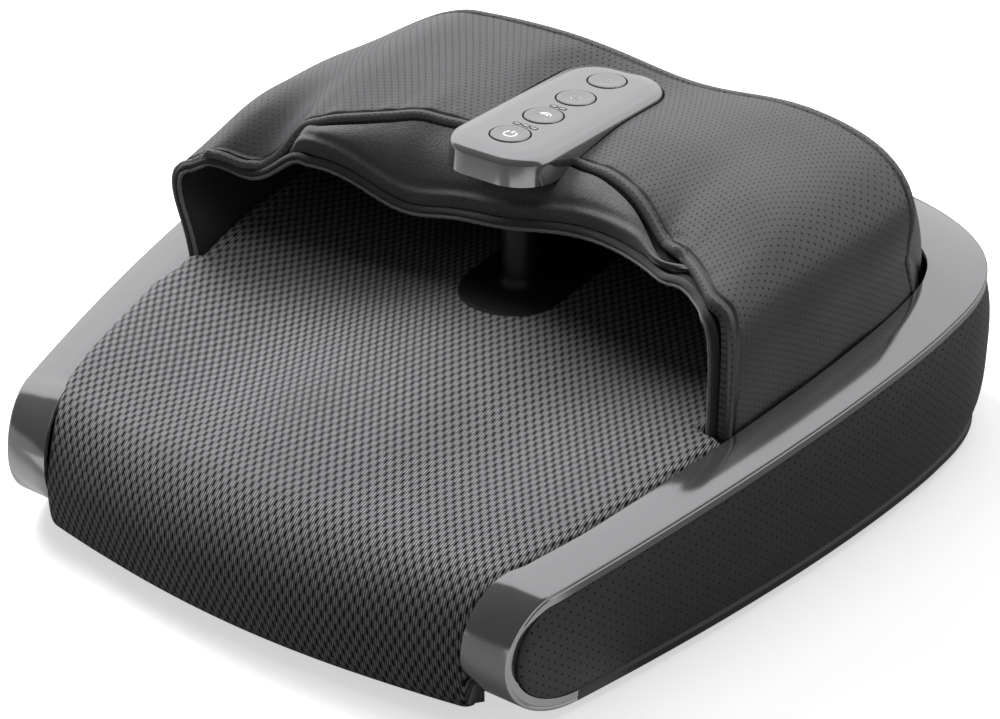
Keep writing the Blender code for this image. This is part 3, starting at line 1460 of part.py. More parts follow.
def make_pump(mat):
    """Air pump body with its outlet nipple."""
    bm = bmesh.new()
    low = place(PUMP_X - PUMP_LENGTH / 2, PUMP_DEPTH - PUMP_WIDTH / 2, PAN_FLOOR_TOP + PART_GAP)
    high = place(PUMP_X + PUMP_LENGTH / 2, PUMP_DEPTH + PUMP_WIDTH / 2,
                 PAN_FLOOR_TOP + PUMP_HEIGHT)
    add_box(bm, low, high)
    edges = [e for e in bm.edges if abs(e.verts[0].co.z - e.verts[1].co.z) > PUMP_BEVEL]
    bmesh.ops.bevel(bm, geom=edges, offset=PUMP_BEVEL, segments=2, affect='EDGES')
    pump = finish_object("air_pump", bm, mat)
    start = PUMP_X + PUMP_LENGTH / 2
    cut(pump, nipple("pump_nipple", start - PUMP_BEVEL, start + NIPPLE_LENGTH, PUMP_DEPTH, mat), 'UNION')
    return pump


def nipple(name, start, end, depth, mat):
    """Hose nipple along X."""
    bm = bmesh.new()
    add_cylinder(bm, NIPPLE_RADIUS, start, end, SCREW_SIDES)
    obj = finish_object(name, bm, mat)
    obj.rotation_euler = (0.0, math.pi / 2, 0.0)
    obj.location = place(0.0, depth, NIPPLE_HEIGHT)
    return obj


def make_valve(mat):
    """Valve block between the pump and the two hoses."""
    bm = bmesh.new()
    low = place(-VALVE_LENGTH / 2, PUMP_DEPTH - VALVE_WIDTH / 2, PAN_FLOOR_TOP + PART_GAP)
    high = place(VALVE_LENGTH / 2, PUMP_DEPTH + VALVE_WIDTH / 2, PAN_FLOOR_TOP + VALVE_HEIGHT)
    add_box(bm, low, high)
    return finish_object("valve_block", bm, mat)


def hose(name, points, mat):
    """Hose along a smooth route, with an even round section."""
    curve = bpy.data.curves.new(name, 'CURVE')
    curve.dimensions = '3D'
    curve.bevel_depth = HOSE_RADIUS
    curve.bevel_resolution = 2
    curve.use_fill_caps = True
    spline = curve.splines.new('POLY')
    spline.points.add(len(points) - 1)
    for spot, point in zip(spline.points, points):
        spot.co = (*point, 1.0)
    curve.materials.append(mat)
    obj = bpy.data.objects.new(name, curve)
    bpy.context.scene.collection.objects.link(obj)
    return obj


def make_pump_hose(mat):
    """Short hose from the pump's nipple to the valve block."""
    start = PUMP_X + PUMP_LENGTH / 2 + NIPPLE_LENGTH + PART_GAP
    end = -VALVE_LENGTH / 2 - PART_GAP
    points = [place(mix(start, end, t / 3), PUMP_DEPTH, NIPPLE_HEIGHT) for t in range(4)]
    return hose("pump_hose", points, mat)


def make_air_hose(name, side, mat):
    """Hose from the valve block up through the deck, behind the lining."""
    start = Vector((side * VALVE_LENGTH / 4, PUMP_DEPTH + VALVE_WIDTH / 2 + 2 * PART_GAP,
                    NIPPLE_HEIGHT))
    end = Vector((side * HOSE_RISE_X, HOSE_RISE_DEPTH, DECK_LOW - HOSE_EASE / 4))
    bend = (start, start + Vector((0, HOSE_EASE, 0)), end - Vector((0, 0, HOSE_EASE)), end)
    points = [place(*bezier(bend, i / HOSE_STEPS)) for i in range(HOSE_STEPS + 1)]
    rise = Vector((0, 0, HOSE_TOP - end.z))
    return hose(name, points + [points[-1] + rise / 2, points[-1] + rise], mat)


def bezier(handles, t):
    """Point of a cubic curve through four handles."""
    a, b, c, d = handles
    k = 1 - t
    return a * k ** 3 + b * 3 * k * k * t + c * 3 * k * t * t + d * t ** 3


def make_main_board(mat):
    """Main circuit board on the pan floor, with its larger components."""
    low = PAN_FLOOR_TOP + PART_GAP
    top = low + BOARD_THICK
    half_l, half_w = MAIN_BOARD_LENGTH / 2, MAIN_BOARD_WIDTH / 2
    bm = bmesh.new()
    add_box(bm, place(MAIN_BOARD_X - half_l, PUMP_DEPTH - half_w, low),
            place(MAIN_BOARD_X + half_l, PUMP_DEPTH + half_w, top))
    board = finish_object("main_board", bm, mat)
    bm = bmesh.new()
    for size, sx, sd in zip(CHIP_SIZES, CHIP_X_SHARES, CHIP_DEPTH_SHARES):
        x = MAIN_BOARD_X + sx * MAIN_BOARD_LENGTH
        depth = PUMP_DEPTH + sd * MAIN_BOARD_WIDTH
        add_box(bm, place(x - size[0] / 2, depth - size[1] / 2, top - BOARD_THICK / 2),
                place(x + size[0] / 2, depth + size[1] / 2, top + size[2]))
    cut(board, finish_object("main_components", bm, mat), 'UNION')
    return board


def make_inlet(mat):
    """Power inlet socket in the rear wall."""
    face = BODY_DEPTH
    rings = []
    profile = ((INLET_RADIUS, face - INLET_LENGTH), (INLET_RADIUS, face), (INLET_BORE, face),
               (INLET_BORE, face - INLET_BORE_DEEP))
    for radius, depth in profile:
        turns = [2 * math.pi * i / INLET_SIDES for i in range(INLET_SIDES)]
        rings.append([place(radius * math.cos(a), depth, INLET_HEIGHT + radius * math.sin(a))
                      for a in turns])
    return ring_solid("power_inlet", rings, mat)


def inlet_cutter(mat):
    """Cutter for the inlet's hole through the wrap and the pan wall."""
    rings = []
    radius = INLET_RADIUS + FIT_GAP
    for depth in (BODY_DEPTH - INLET_LENGTH - CUT_OVERRUN, BODY_DEPTH + CUT_OVERRUN):
        turns = [2 * math.pi * i / INLET_SIDES for i in range(INLET_SIDES)]
        rings.append([place(radius * math.cos(a), depth, INLET_HEIGHT + radius * math.sin(a))
                      for a in turns])
    return ring_solid("inlet_cut", rings, mat)


def pocket_cutter(name, sign, mat):
    """Room in the pad's underside for one foot's two massage heads."""
    grow = HEAD_RADIUS + POCKET_CLEAR
    high = DECK_TOP + HEAD_LIFT + HEAD_PLATE + KNOB_HEIGHT + POCKET_HEAD_ROOM
    outline = oval(grow, FRONT_HEAD_DEPTH - grow, REAR_HEAD_DEPTH + grow, 8)
    low = DECK_TOP - CUT_OVERRUN
    return ring_solid(name, [[place(sign * HEAD_X + x, d, z) for x, d in outline]
                             for z in (low, high)], mat)


def deck_hole_cutter(mat):
    """Cutter for the deck's shaft holes and hose holes."""
    bm = bmesh.new()
    low, high = DECK_LOW - CUT_OVERRUN, DECK_TOP + CUT_OVERRUN
    for _, x, depth in head_places():
        add_cylinder(bm, SHAFT_RADIUS + RUN_GAP, low, high, SHAFT_SIDES, (x, depth_to_y(depth)))
    for side in (-1, 1):
        add_cylinder(bm, HOSE_RADIUS + 2 * FIT_GAP, low, high, SHAFT_SIDES,
                     (side * HOSE_RISE_X, depth_to_y(HOSE_RISE_DEPTH)))
    return finish_object("deck_holes", bm, mat)


def make_drive(plastic, steel, brass):
    """Gear train: head gears, idlers, worm wheels and their shafts."""
    half_tooth = math.pi / GEAR_TEETH
    gear_radius = GEAR_MODULE * GEAR_TEETH / 2
    idler_radius = GEAR_MODULE * IDLER_TEETH / 2
    for name, x, depth in head_places():
        make_shaft(name + "_shaft", steel, x, depth)
        make_gear(name + "_gear", GEAR_TEETH, gear_radius, GEAR_MODULE, GEAR_LOW, GEAR_HIGH,
                  SHAFT_RADIUS + PART_GAP, half_tooth, plastic, x, depth)
    for side, sign in (("left", -1), ("right", 1)):
        x = sign * HEAD_X
        middle = FRONT_HEAD_DEPTH + CENTRE_DISTANCE
        make_gear(side + "_idler_gear", IDLER_TEETH, idler_radius, GEAR_MODULE, GEAR_LOW, GEAR_HIGH,
                  IDLER_PIN_RADIUS + RUN_GAP, math.pi / 2, plastic, x, middle)
        make_idler_pin(side + "_idler_pin", steel, x, middle)
        make_gear(side + "_worm_wheel", WHEEL_TEETH, WHEEL_RADIUS, 2 * WHEEL_RADIUS / WHEEL_TEETH,
                  WORM_AXIS_HEIGHT - WHEEL_THICK / 2, WORM_AXIS_HEIGHT + WHEEL_THICK / 2,
                  SHAFT_RADIUS + PART_GAP, 0.0, brass, x, REAR_HEAD_DEPTH)


def clear_scene():
    """Remove every object that the scene holds."""
    for obj in list(bpy.data.objects):
        bpy.data.objects.remove(obj, do_unlink=True)


def build():
    """Make every part of the foot massager."""
    clear_scene()
    made = {name: material(name, *values) for name, values in FINISHES.items()}
    trim, leather, mesh_cloth = made["satin_trim"], made["leatherette"], made["mesh_cloth"]
    lining_cloth, felt, binding_cloth = made["lining_cloth"], made["felt"], made["binding_cloth"]
    black, post_black, grey = made["black_plastic"], made["post_plastic"], made["rail_plastic"]
    panel, button = made["panel_metal"], made["button_metal"]
    white, steel, brass = made["white_plastic"], made["steel"], made["brass"]
    rubber, board = made["rubber"], made["circuit_board"]
    frame = panel_frame()

    inlet_cut = inlet_cutter(black)
    make_band(trim)
    wrap = make_wrap(leather)
    cut(wrap, inlet_cut)
    make_rail(grey)
    add_bosses(make_pan(black, [inlet_cut]), black)
    make_feet(rubber)
    make_screws(steel)
    make_deck(black, [deck_hole_cutter(black)])
    stem_cut = oval_cutter("stem_cut", FIT_GAP, FLANGE_HALF, FLANGE_FRONT, FLANGE_REAR,
                           DECK_TOP - CUT_OVERRUN, PANEL_TOP, black)
    make_pad(mesh_cloth, [pocket_cutter("left_pocket", -1, black),
                          pocket_cutter("right_pocket", 1, black), stem_cut])
    make_post(post_black)
    for name, x, depth in head_places():
        make_head(name + "_head", white, x, depth, math.pi / 6)
    make_drive(white, steel, brass)
    make_worm_shaft(steel)
    make_motor(steel)
    make_cradle(black)
    make_shaft_bearing("left_shaft_bearing", -BEARING_X, brass)
    make_shaft_bearing("right_shaft_bearing", BEARING_X, brass)

    cover_hole = panel_hole("cover_hole", -FIT_GAP, -PANEL_HEIGHT - CUT_OVERRUN, CUT_OVERRUN,
                            frame, black)
    flap_hole = panel_hole("flap_hole", -FIT_GAP, -PANEL_BASE_LOW - FIT_GAP, CUT_OVERRUN,
                           frame, black)
    post_hole = oval_cutter("post_hole", FIT_GAP, POST_HALF, POST_FRONT, POST_REAR,
                            DECK_TOP + CUT_OVERRUN, PANEL_TOP, black)
    make_hood_cover(leather, cover_hole)
    lining = make_lining(lining_cloth, post_hole)
    cut(lining, flap_hole)
    flap = make_flap(felt, flap_hole)
    cut(flap, post_hole)
    make_binding(binding_cloth)
    make_air_bag("left_air_bag", False, rubber)
    make_air_bag("right_air_bag", True, rubber)

    make_panel_cover(panel, frame)
    make_panel_base(black, frame)
    make_control_board(board, frame)
    for name, y in zip(BUTTON_NAMES, button_offsets()):
        make_button(name, y, button, frame)

    make_pump(grey)
    make_valve(black)
    make_pump_hose(rubber)
    make_air_hose("left_air_hose", -1, rubber)
    make_air_hose("right_air_hose", 1, rubber)
    make_main_board(board)
    make_inlet(black)


build()
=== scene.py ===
"""Foot massager with a leatherette hood over two foot chambers, dressed for the picture."""
import json
import math

import bmesh
import bpy
from mathutils import Matrix, Vector


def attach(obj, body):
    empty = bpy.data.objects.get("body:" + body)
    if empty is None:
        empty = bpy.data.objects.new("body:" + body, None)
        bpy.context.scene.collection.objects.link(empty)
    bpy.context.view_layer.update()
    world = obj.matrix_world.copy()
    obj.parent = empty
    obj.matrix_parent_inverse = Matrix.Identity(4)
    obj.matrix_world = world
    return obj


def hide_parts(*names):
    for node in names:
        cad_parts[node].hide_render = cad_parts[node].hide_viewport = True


# Sizes shared with the part, in metres
BODY_WIDTH = 0.400
BODY_DEPTH = 0.416
NOSE_WIDTH = 0.2964
REAR_CURVE = 0.121
SIDE_POWER = 1.63
REAR_POWER = 2.97
FLOOR_GAP = 0.0045
NOSE_TOP = 0.0692
NOSE_REACH = 0.0271
NOSE_LOW_REACH = 0.038
REAR_TOP = 0.0929
NOSE_RISE_SHARE = 0.104
PART_GAP = 0.0003
FIT_GAP = 0.0004
BAND_NOSE_WIDTH = 0.0249
BAND_SIDE_WIDTH = 0.0225
BAND_SIDE_DEPTH = 0.060
BAND_REAR_WIDTH = 0.0318
BAND_THICK = 0.0022
BAND_LIP = 0.006
NOSE_TURN_SHARE = -0.2
HOOK_END = 0.039
ANGLE_LIMIT = 1e-6
WRAP_THICK = 0.003
WRAP_INSET = 0.0006
WRAP_BULGE = 0.0022
RAIL_THICK = 0.004
DECK_TOP = 0.052
DECK_FRONT = 0.014
DECK_NOSE_START = 0.034
PAD_OVERHANG = 0.0115
PAD_NOSE_HALF = 0.128
PAD_LOW = 0.0055
PAD_BELLY = 0.030
PAD_NOSE_BACK = 0.028
PAD_UNDERCUT = 0.007
PAD_HEEL = 0.009
PAD_STEP = 0.0140
PAD_STEP_AHEAD = 0.017
PAD_STEP_RUN = 0.011
PAD_REAR_SHORT = 0.029
TROUGH_X = 0.076
TROUGH_WIDTH = 0.038
TROUGH_DEEP = 0.0055
TROUGH_START = 0.015
TROUGH_FULL = 0.110
CENTRE_RIDGE = 0.0015
PAD_EDGE_DROP = 0.0012
POST_HALF = 0.0095
POST_BEHIND = 0.0235
POST_LENGTH = 0.0205
POST_FILLET = 0.005
FLANGE_HALF = 0.025
FLANGE_BEHIND = 0.001
FLANGE_LENGTH = 0.110
FLANGE_LIFT = 0.0012
STEM_INSET = 0.004
PANEL_HALF = 0.029
PANEL_SETBACK = 0.099
PANEL_LENGTH = 0.131
PANEL_CORNER = 0.021
PANEL_LIFT = 0.0087
PANEL_TILT = math.radians(2.0)
PANEL_HEIGHT = 0.016
PANEL_WALL = 0.0022
PANEL_EDGE = 0.0035
PANEL_CROWN = 0.0012
PANEL_BASE_LOW = 0.0172
PANEL_BASE_TOP = 0.0112
BOARD_THICK = 0.0016
SWITCH_HEIGHT = 0.0035
BUTTON_BEHIND = 0.024
BUTTON_PITCH = 0.0283
BUTTON_RADIUS = 0.0098
BUTTON_GAP = 0.0003
BUTTON_PROUD = 0.0005
BUTTON_FLANGE = 0.001
BUTTON_FLANGE_THICK = 0.0012
BUTTON_STEM_RADIUS = 0.003
BUTTON_TRAVEL = 0.0008
BUTTON_STOP_GAP = 0.0001
BUTTON_DISH = 0.0004
HOOD_THICK = 0.0035
HOOD_WALL_POWER = 9.25
HOOD_RISE_POWER = 7.0
ARCH_STEPS = 400
HOOD_SIDE_SET = 0.042
LEATHER_BEHIND = 0.036
LEATHER_FRONT_SWEEP = 0.075
LEATHER_FRONT_TOP = 0.1615
RIGHT_SETBACK = 0.010
RIGHT_SETBACK_X = 0.140
LEFT_FOLD = 0.0255
LEFT_FOLD_X = -0.130
LEFT_FOLD_WIDTH = 0.016
RIGHT_TUCK = 0.016
RIGHT_TUCK_X = 0.098
RIGHT_TUCK_WIDTH = 0.016
FOLD_FADE_POWER = 5.0
LIP_BEHIND = 0.024
LIP_FRONT_SWEEP = 0.063
LIP_FRONT_REACH = 0.011
LIP_REACH_WIDTH = 0.060
LIP_FRONT_TOP = 0.1410
LIP_FADE_POWER = 2.0
LIP_SAGS = ((-0.058, 0.030, 0.016), (-0.008, 0.045, 0.012), (-0.125, 0.009, 0.013))
LIP_LIFTS = ((1, 0.105, 0.132, 0.009), (1, 0.132, 0.152, 0.010), (-1, 0.136, 0.154, 0.009))
SEAM_SETBACK = 0.085
SEAM_SWEEP = 0.030
SEAM_CORNER_SHARE = 1.6
SEAM_TOP = 0.1728
SADDLE_DEEP = 0.0105
SADDLE_X = 0.028
SADDLE_HALF = 0.056
CROWN_LIFT = 0.003
LEFT_DROP = 0.020
LEFT_DROP_START = 0.100
LEFT_DROP_END = 0.165
SIDE_BULGE_SHARE = 0.036
BULGE_START_SHARE = 0.50
HOOD_CORNER_SETBACK = 0.078
HOOD_BACK_SET = 0.050
HOOD_BACK_POWER = 4.5
HOOD_BACK_EASE = 1.8
BASE_INSET = 0.0010
BACK_FOOT_LIFT = 0.0008
LINING_INSET = 0.0092
LINING_DROP = 0.0098
LINING_THICK = 0.002
LINING_FRONT_SET = 0.0045
LINING_FRONT_DROP = 0.0030
FLAP_THICK = 0.0028
FLAP_SET = 0.0024
FLAP_BULGE = 0.004
BINDING_RADIUS = 0.0030
MID_DEPTH = (BODY_DEPTH + WRAP_BULGE - WRAP_INSET - PAD_OVERHANG) / 2
NOSE_MID = (NOSE_TOP + FLOOR_GAP) / 2
NOSE_HALF_HEIGHT = (NOSE_TOP - FLOOR_GAP) / 2
WIDEST_DEPTH = BODY_DEPTH - REAR_CURVE
PANEL_ROOF = -PANEL_CROWN - PANEL_WALL
PANEL_REAR = BODY_DEPTH - PANEL_SETBACK
PANEL_FRONT = PANEL_REAR - PANEL_LENGTH
PANEL_TOP = LEATHER_FRONT_TOP + PANEL_LIFT
BUTTON_FIRST = PANEL_FRONT + BUTTON_BEHIND
POST_FRONT = PANEL_FRONT + POST_BEHIND
POST_REAR = POST_FRONT + POST_LENGTH
FLANGE_FRONT = PANEL_FRONT + FLANGE_BEHIND
FLANGE_REAR = FLANGE_FRONT + FLANGE_LENGTH
LEATHER_FRONT_CENTRE = PANEL_FRONT + LEATHER_BEHIND
LIP_FRONT_CENTRE = PANEL_FRONT + LIP_BEHIND
PAD_STEP_START = LIP_FRONT_CENTRE - LIP_FRONT_SWEEP - PAD_STEP_AHEAD
PAD_STEP_END = PAD_STEP_START + PAD_STEP_RUN
PAD_REAR = PANEL_REAR - PAD_REAR_SHORT
SEAM_DEPTH = BODY_DEPTH - SEAM_SETBACK
HOOD_CORNER_DEPTH = BODY_DEPTH - HOOD_CORNER_SETBACK
HOOD_FRONT_HALF = BODY_WIDTH / 2 - HOOD_SIDE_SET
HOOD_BACK_HALF = BODY_WIDTH / 2 - HOOD_BACK_SET

# Steps of the fine pieces
NOSE_FINE_STEPS = 48
SIDE_FINE_STEPS = 60
REAR_FINE_STEPS = 48
WRAP_FINE_STEPS = 14
PAD_COLUMNS = 110
PAD_EDGE_SHARES = (1.0, 0.9985, 0.996, 0.992, 0.986, 0.978, 0.968, 0.955)
PAD_HEEL_FINE = 8
PAD_FACE_FINE = 8
PAD_NOSE_FINE = 26
PAD_OPEN_FINE = 48
PAD_FOOT_FINE = 22
PAD_HIDDEN_FINE = 50
PAD_UNDER_FINE = 8
HOOD_COLUMNS = 240
HOOD_ROLL_ROWS = 22
HOOD_MIDDLE_ROWS = 46
HOOD_HEM_ROWS = 18
HOOD_BACK_ROWS = 28
HOOD_FINE_V = 0.0034
HOOD_HEM_V = 0.065
LINING_COLUMNS = 100
LINING_ROWS = 60
LINING_BACK = 8
FLAP_ROWS = 40
FLAP_COLUMNS = 150
BINDING_FINE = 260
POST_FINE_STEPS = 28
POST_ARC_STEPS = 8
NOSE_WRAP_STEPS = 22
PIPING_SIDES = 18
ROLL_SIDES = 14
KNIT_SIDES = 10
CUTTER_STEPS = 10
HOLE_STEPS = 16
ROUND_STEPS = 72
BAR_CORNER_STEPS = 4
ARC_STEPS = 60
PANEL_CORNER_STEPS = 18
PANEL_EDGE_STEPS = 7

# Band's edges as (inward, along the normal), in millimetres
MM = 0.001
BAND_EDGE = ((0.0, -2.5), (0.45, -2.15), (0.45, -1.85), (0.05, -1.5), (0.0, -1.0), (0.12, -0.55),
             (0.42, -0.2), (0.85, -0.04), (1.4, 0.0))
BAND_FACE_SHARES = (0.3, 0.65)
BAND_INNER_EDGE = ((0.7, 0.0), (0.2, 0.15), (0.0, 0.6))

# Soft forms that only the scene shows; pairs are a step's two ends, or a bump's middle and width
WRAP_FULL_HEIGHT = 0.03
WRAP_ROUND_POWER = 3.2
REAR_BULGE = 0.0022
REAR_BULGE_DEPTHS = (0.16, 0.31)
REAR_BULGE_SIDES = (0.05, 0.16)
PAD_EDGE_ROLL = 0.0028
PAD_FRONT_SWELL = 0.0010
PAD_CORNER_SWELL = 0.0022
PAD_SIDE_SWELL = 0.0022
SWELL_HEIGHTS = (0.024, 0.020)
SWELL_BEHIND = 0.02
SWELL_RUN = 0.03
SWELL_CORNERS = (0.070, 0.125)
WRINKLE_HIGH = 0.0005
WRINKLE_BEHIND = 0.010
WRINKLE_WIDTH = 0.030
WRINKLE_SIDES = (0.05, 0.15)
PAD_WAVE_HIGH = 0.00035
PAD_UNDER_MID = 0.2
UNDER_STEP = 0.01
ROLL_START = 0.002
ROLL_WIDTH = 0.0062
ROLL_UNDER = 0.0010
GROOVE_DEEP = 0.0011
GROOVE_BEHIND = 0.0004
GROOVE_WIDTH = 0.0007
PUCKER_HIGH = 0.00030
PUCKER_PITCH = 0.0135
PUCKER_FADE = 0.009
PUCKER_START = 0.002
HOOD_WAVE_HIGH = 0.0005
HOOD_WAVE_START = 0.03
HEM_WIDTH = 0.005
HEM_GROOVE = 0.0007
HEM_HIGH = 0.0005
PANEL_SINK = 0.0016
PANEL_SINK_FADE = 0.007
RIDGE_HIGH = 0.0014
RIDGE_AT = (0.0045, 0.0022)
RIDGE_GROOVE = 0.0006
RIDGE_GROOVE_AT = (0.0085, 0.002)
RIDGE_RUN = 0.012
WRAP_TIP = 0.0001
PAD_SHOWN_BOW = 0.0132
WALL_FOOT_LEFT = 0.1475
WALL_FOOT_RIGHT = 0.1585
WALL_FOOT_RUN = 0.0050
LEFT_STEP = 0.60
HELD_EDGE = 0.65
HELD_DEPTHS = (WALL_FOOT_LEFT - 0.012, WALL_FOOT_LEFT + 0.004)
PAD_SOFT_ROLL = 0.0065
SOFT_ROLL_RUN = 0.05
EDGE_SINK = 0.8
LIFT_FRONT = (-0.005, 0.060)
LIFT_FADE = (0.26, 0.33)
LEFT_LIFT = 0.0062
LEFT_LIFT_SIDES = (0.070, 0.150)
FOOT_LIFT = 0.0090
FOOT_LIFT_SIDES = (0.085, 0.150)
FOOT_LIFT_DEPTHS = (0.08, 0.21)
STEP_INSIDE = 0.86
RIGHT_LIFT = 0.0022
RIGHT_LIFT_SIDES = (0.090, 0.150)
OVERLAP = 0.0032
OVERLAP_START = (0.004, 0.040)
OVERLAP_END = (WALL_FOOT_LEFT - 0.032, WALL_FOOT_LEFT - 0.010)
OVERLAP_SHARES = (0.6, 1.0)
OVERLAP_GAP = 0.0004
CREASE_X = -0.006
CREASE_WIDTH = 0.020
CREASE_DEEP = 0.0016
CREASE_SLANT = 0.35
CREASE_MID = 0.10
CREASE_DEPTHS = (0.105, 0.050)
SHOULDER_FULL = 0.0115
SHOULDER_SIDES = (0.110, 0.145)
SHOULDER_FADE_V = 0.6
SHOULDER_Z = 0.124
SHOULDER_BELOW = 0.029
SHOULDER_ABOVE = 0.030
SHIFT_FADE_V = 0.40
HOOD_OUTWARD = (0.02, 0.10)
# Fall of the leather's front edge as (x, change of height)
LEATHER_SHIFT = ((-0.158, 0.0), (-0.1547, -0.0060), (-0.1515, -0.0105), (-0.1447, -0.0102),
                 (-0.1354, -0.0082), (-0.1272, -0.0082), (-0.119, -0.0060), (-0.1106, -0.0014),
                 (-0.1022, -0.0040), (-0.0877, -0.0035), (-0.0712, -0.0010), (-0.057, 0.0018),
                 (-0.044, 0.0006), (0.033, -0.0015), (0.050, 0.0), (0.074, -0.0020),
                 (0.091, -0.0008), (0.100, -0.0024), (0.108, -0.0064), (0.115, -0.0097),
                 (0.122, -0.0108), (0.131, -0.0106), (0.140, -0.0090), (0.149, -0.0048), (0.157, 0.0))
FLAP_SHOWN_LEFT = 0.1215
FLAP_SHOWN_RIGHT = 0.1220
FLAP_END_RUN = 0.022
FLAP_END_BACK = 0.0060
LIP_BACK = 0.0030
LIP_DOWN = 0.0012
LINING_JOIN_V = 0.16
LINING_CLEAR = 0.002
LINING_WIDE = 0.45
LINING_LONG = 0.2
LINING_FOLDS_AT = (-0.105, 0.035)
LINING_FOLDS_FADE = 0.5
LINING_WAVE_HIGH = 0.0012
LINING_FULL = 0.0010
LINING_WAVES = (34, 60)
PANEL_HOLE_GAP = 0.0012
PANEL_FLARE = 0.0012
PANEL_STAND = 0.0034
PANEL_SLOPE = 0.50
PANEL_SOFT = 0.0016
PANEL_LOWER = 0.0055
PANEL_FAR = (0.018, 0.034)
CUTTER_REACH = 0.030
HOLE_DEPTH = 0.02
HOLE_HEIGHTS = (0.10, 0.20)
PANEL_SHOWN_HEIGHT = 0.0150
PIPING_RADIUS = 0.0027
PIPING_SINK = 0.0017
ROLL_RADIUS = 0.0020
ROLL_BUMPS = 0.02
BUMP_WAVES = 900
# How far the binding lies inside and under the leather at each wall
LIP_AT_LEFT = (0.0030, 0.0012)
LIP_AT_RIGHT = (0.0082, 0.0071)
LIP_AHEAD = 0.0008
FELT_LEFT = (-0.132, -0.112)
FELT_RIGHT = (0.118, 0.146)
FLAP_SHOWN_GAP = 0.0012
BUTTON_GROOVE = 0.00085
FLANGE_GROW = 0.0025
KNIT_RADIUS = 0.0011
KNIT_BUMPS = 0.10
KNIT_INSIDE = 1.10
KNIT_AHEAD = 0.60
FLANGE_RIM = 0.0018
MARK_HIGH = 0.00012
# Least Z of the direction of a face or edge that counts as upright, and as level
UPRIGHT = 0.9
LEVEL = 0.999
# Insets and rises that form the panel's crown and a button's rim and dish
PANEL_CROWN_STEPS = ((0.0020, 0.00056), (0.0020, 0.00036), (0.0020, 0.0002), (0.0015, 0.00008))
BUTTON_RIM_STEPS = ((0.00012, 0.00026), (0.00022, 0.00018), (0.00030, 0.00006), (0.0012, 0.0),
                    (0.0020, -0.00012), (0.0020, -0.00016), (0.0020, -0.00012))

# Weave of the foot pad's mesh
WEAVE_ROW = (0.002876, -0.004001)
WEAVE_COLUMN = (0.001825, 0.003872)
ROW_GROOVE = (0.02, 0.24)
COLUMN_GROOVE = (0.02, 0.20)
PIT_ALONG = (0.06, 0.38)
PIT_ACROSS = (0.15, 0.78)
MESH_DARKEST = 0.05

# Leatherette's hole pitch, and a hole's soft edge as shares of its radius
HOLE_PITCH = 0.0035
HOLE_EDGE = (0.55, 1.25)

# Features per metre of each finish's soft clouds, grain and fibres
METAL_CLOUDS = 35.0
METAL_GRAIN = 2600.0
PLASTIC_CLOUDS = 45.0
PLASTIC_GRAIN = 1500.0
LEATHER_CLOUDS = 28.0
LEATHER_GRAIN = 900.0
LEATHER_PEBBLES = 1100.0
MESH_CLOUDS = 22.0
MESH_FUZZ = 2400.0
FELT_CLOUDS = 60.0
KNIT_FUZZ = 2600.0
BOARD_TRACKS = 240.0

# Depth of each finish's relief
METAL_RELIEF = 0.0000012
LEATHER_RELIEF = 0.00022
MESH_RELIEF = 0.00055
FELT_RELIEF = 0.0005
BOARD_RELIEF = 0.00003

# Places of the level lights beside the first two buttons
LEVEL_SPOTS = (((-0.0048, 0.0126), (0.0002, 0.0130), (0.0052, 0.0126)),
               ((-0.0026, 0.0129), (0.0026, 0.0129)))
BUTTON_NODES = ("power_button", "air_button", "roller_button", "heat_button")
# Plates of one level light as name, width, length and height over the panel
LEVEL_PLATES = (("rim", 0.0044, 0.0030, 0.00003), ("window", 0.0031, 0.0017, 0.00007))
LEVEL_ROUND = 0.32
LEVEL_THICK = 0.0001
BUTTON_BODIES = ("power_key", "air_key", "roller_key", "heat_key")
BUTTON_SPOTS = tuple(i * BUTTON_PITCH for i in range(len(BUTTON_NODES)))
MARK_FINISHES = ("mark_light", "mark_light", "mark_faint", "mark_faint")
# Marks as name and button, then an arc's radius, width and angles, or a bar's size, place and corner
BUTTON_MARKS = (("power_ring", 0, 0.0036, 0.0010, 0, 55), ("power_arc", 0, 0.0036, 0.0010, 125, 360),
                ("power_bar", 0, 0.0011, 0.0036, 0.0, 0.0026, 0.0002),
                ("air_arc", 1, 0.0042, 0.0010, 25, 155), ("air_small_arc", 1, 0.0024, 0.0010, 15, 165),
                ("roller_ring", 2, 0.0027, 0.00035, 0, 360), ("roller_dot", 2, 0.0011, 0.0004, 0, 360),
                ("heat_bar_1", 3, 0.0004, 0.0036, -0.0017, 0.0, 0.00015),
                ("heat_bar_2", 3, 0.0004, 0.0036, 0.0, 0.0, 0.00015),
                ("heat_bar_3", 3, 0.0004, 0.0036, 0.0017, 0.0, 0.00015))

# Crown of the band's top as a slope at its outer edge and how fast it eases
CROWN_TILT = 0.28
CROWN_EASE = 4.3

# Camera fitted to the photograph
CAMERA_SENSOR = 36.0
CAMERA_LENS = 94.67
CAMERA_PLACE = (0.66978, -0.93527, 0.71869)
CAMERA_BACK = (0.50333, -0.70168, 0.50429)

# Lamps as name, place, aim, size and power
LAMPS = (("overhead_softbox", (0.05, 0.26, 1.20), (0.05, 0.10, 0.0), 1.2, 7.9),
         ("left_key", (-0.80, 0.24, 0.80), (0.0, 0.0, 0.08), 0.6, 20.0))
WHITE = (1.0, 1.0, 1.0, 1.0)
WORLD_BACK = (-0.02, 0.10)
WORLD_DARK = 0.12
WORLD_LIGHT = 1.00
WORLD_FILL = 0.125
FLOOR_SIZE = 12.0
# Floor glow that only glossy rays see, a painted reflection: dark except beside the left side, where it
# is lighter
FLOOR_FRONT = (-0.250, -0.215)
FLOOR_SIDE = (-0.165, -0.130)
FLOOR_REFLECTION_DARK = 0.12
FLOOR_REFLECTION_LIGHT = 0.46
FLOOR_BOUNCE = 0.20
FLOOR_WHITE = 0.82
FLOOR_GLOW = 0.60
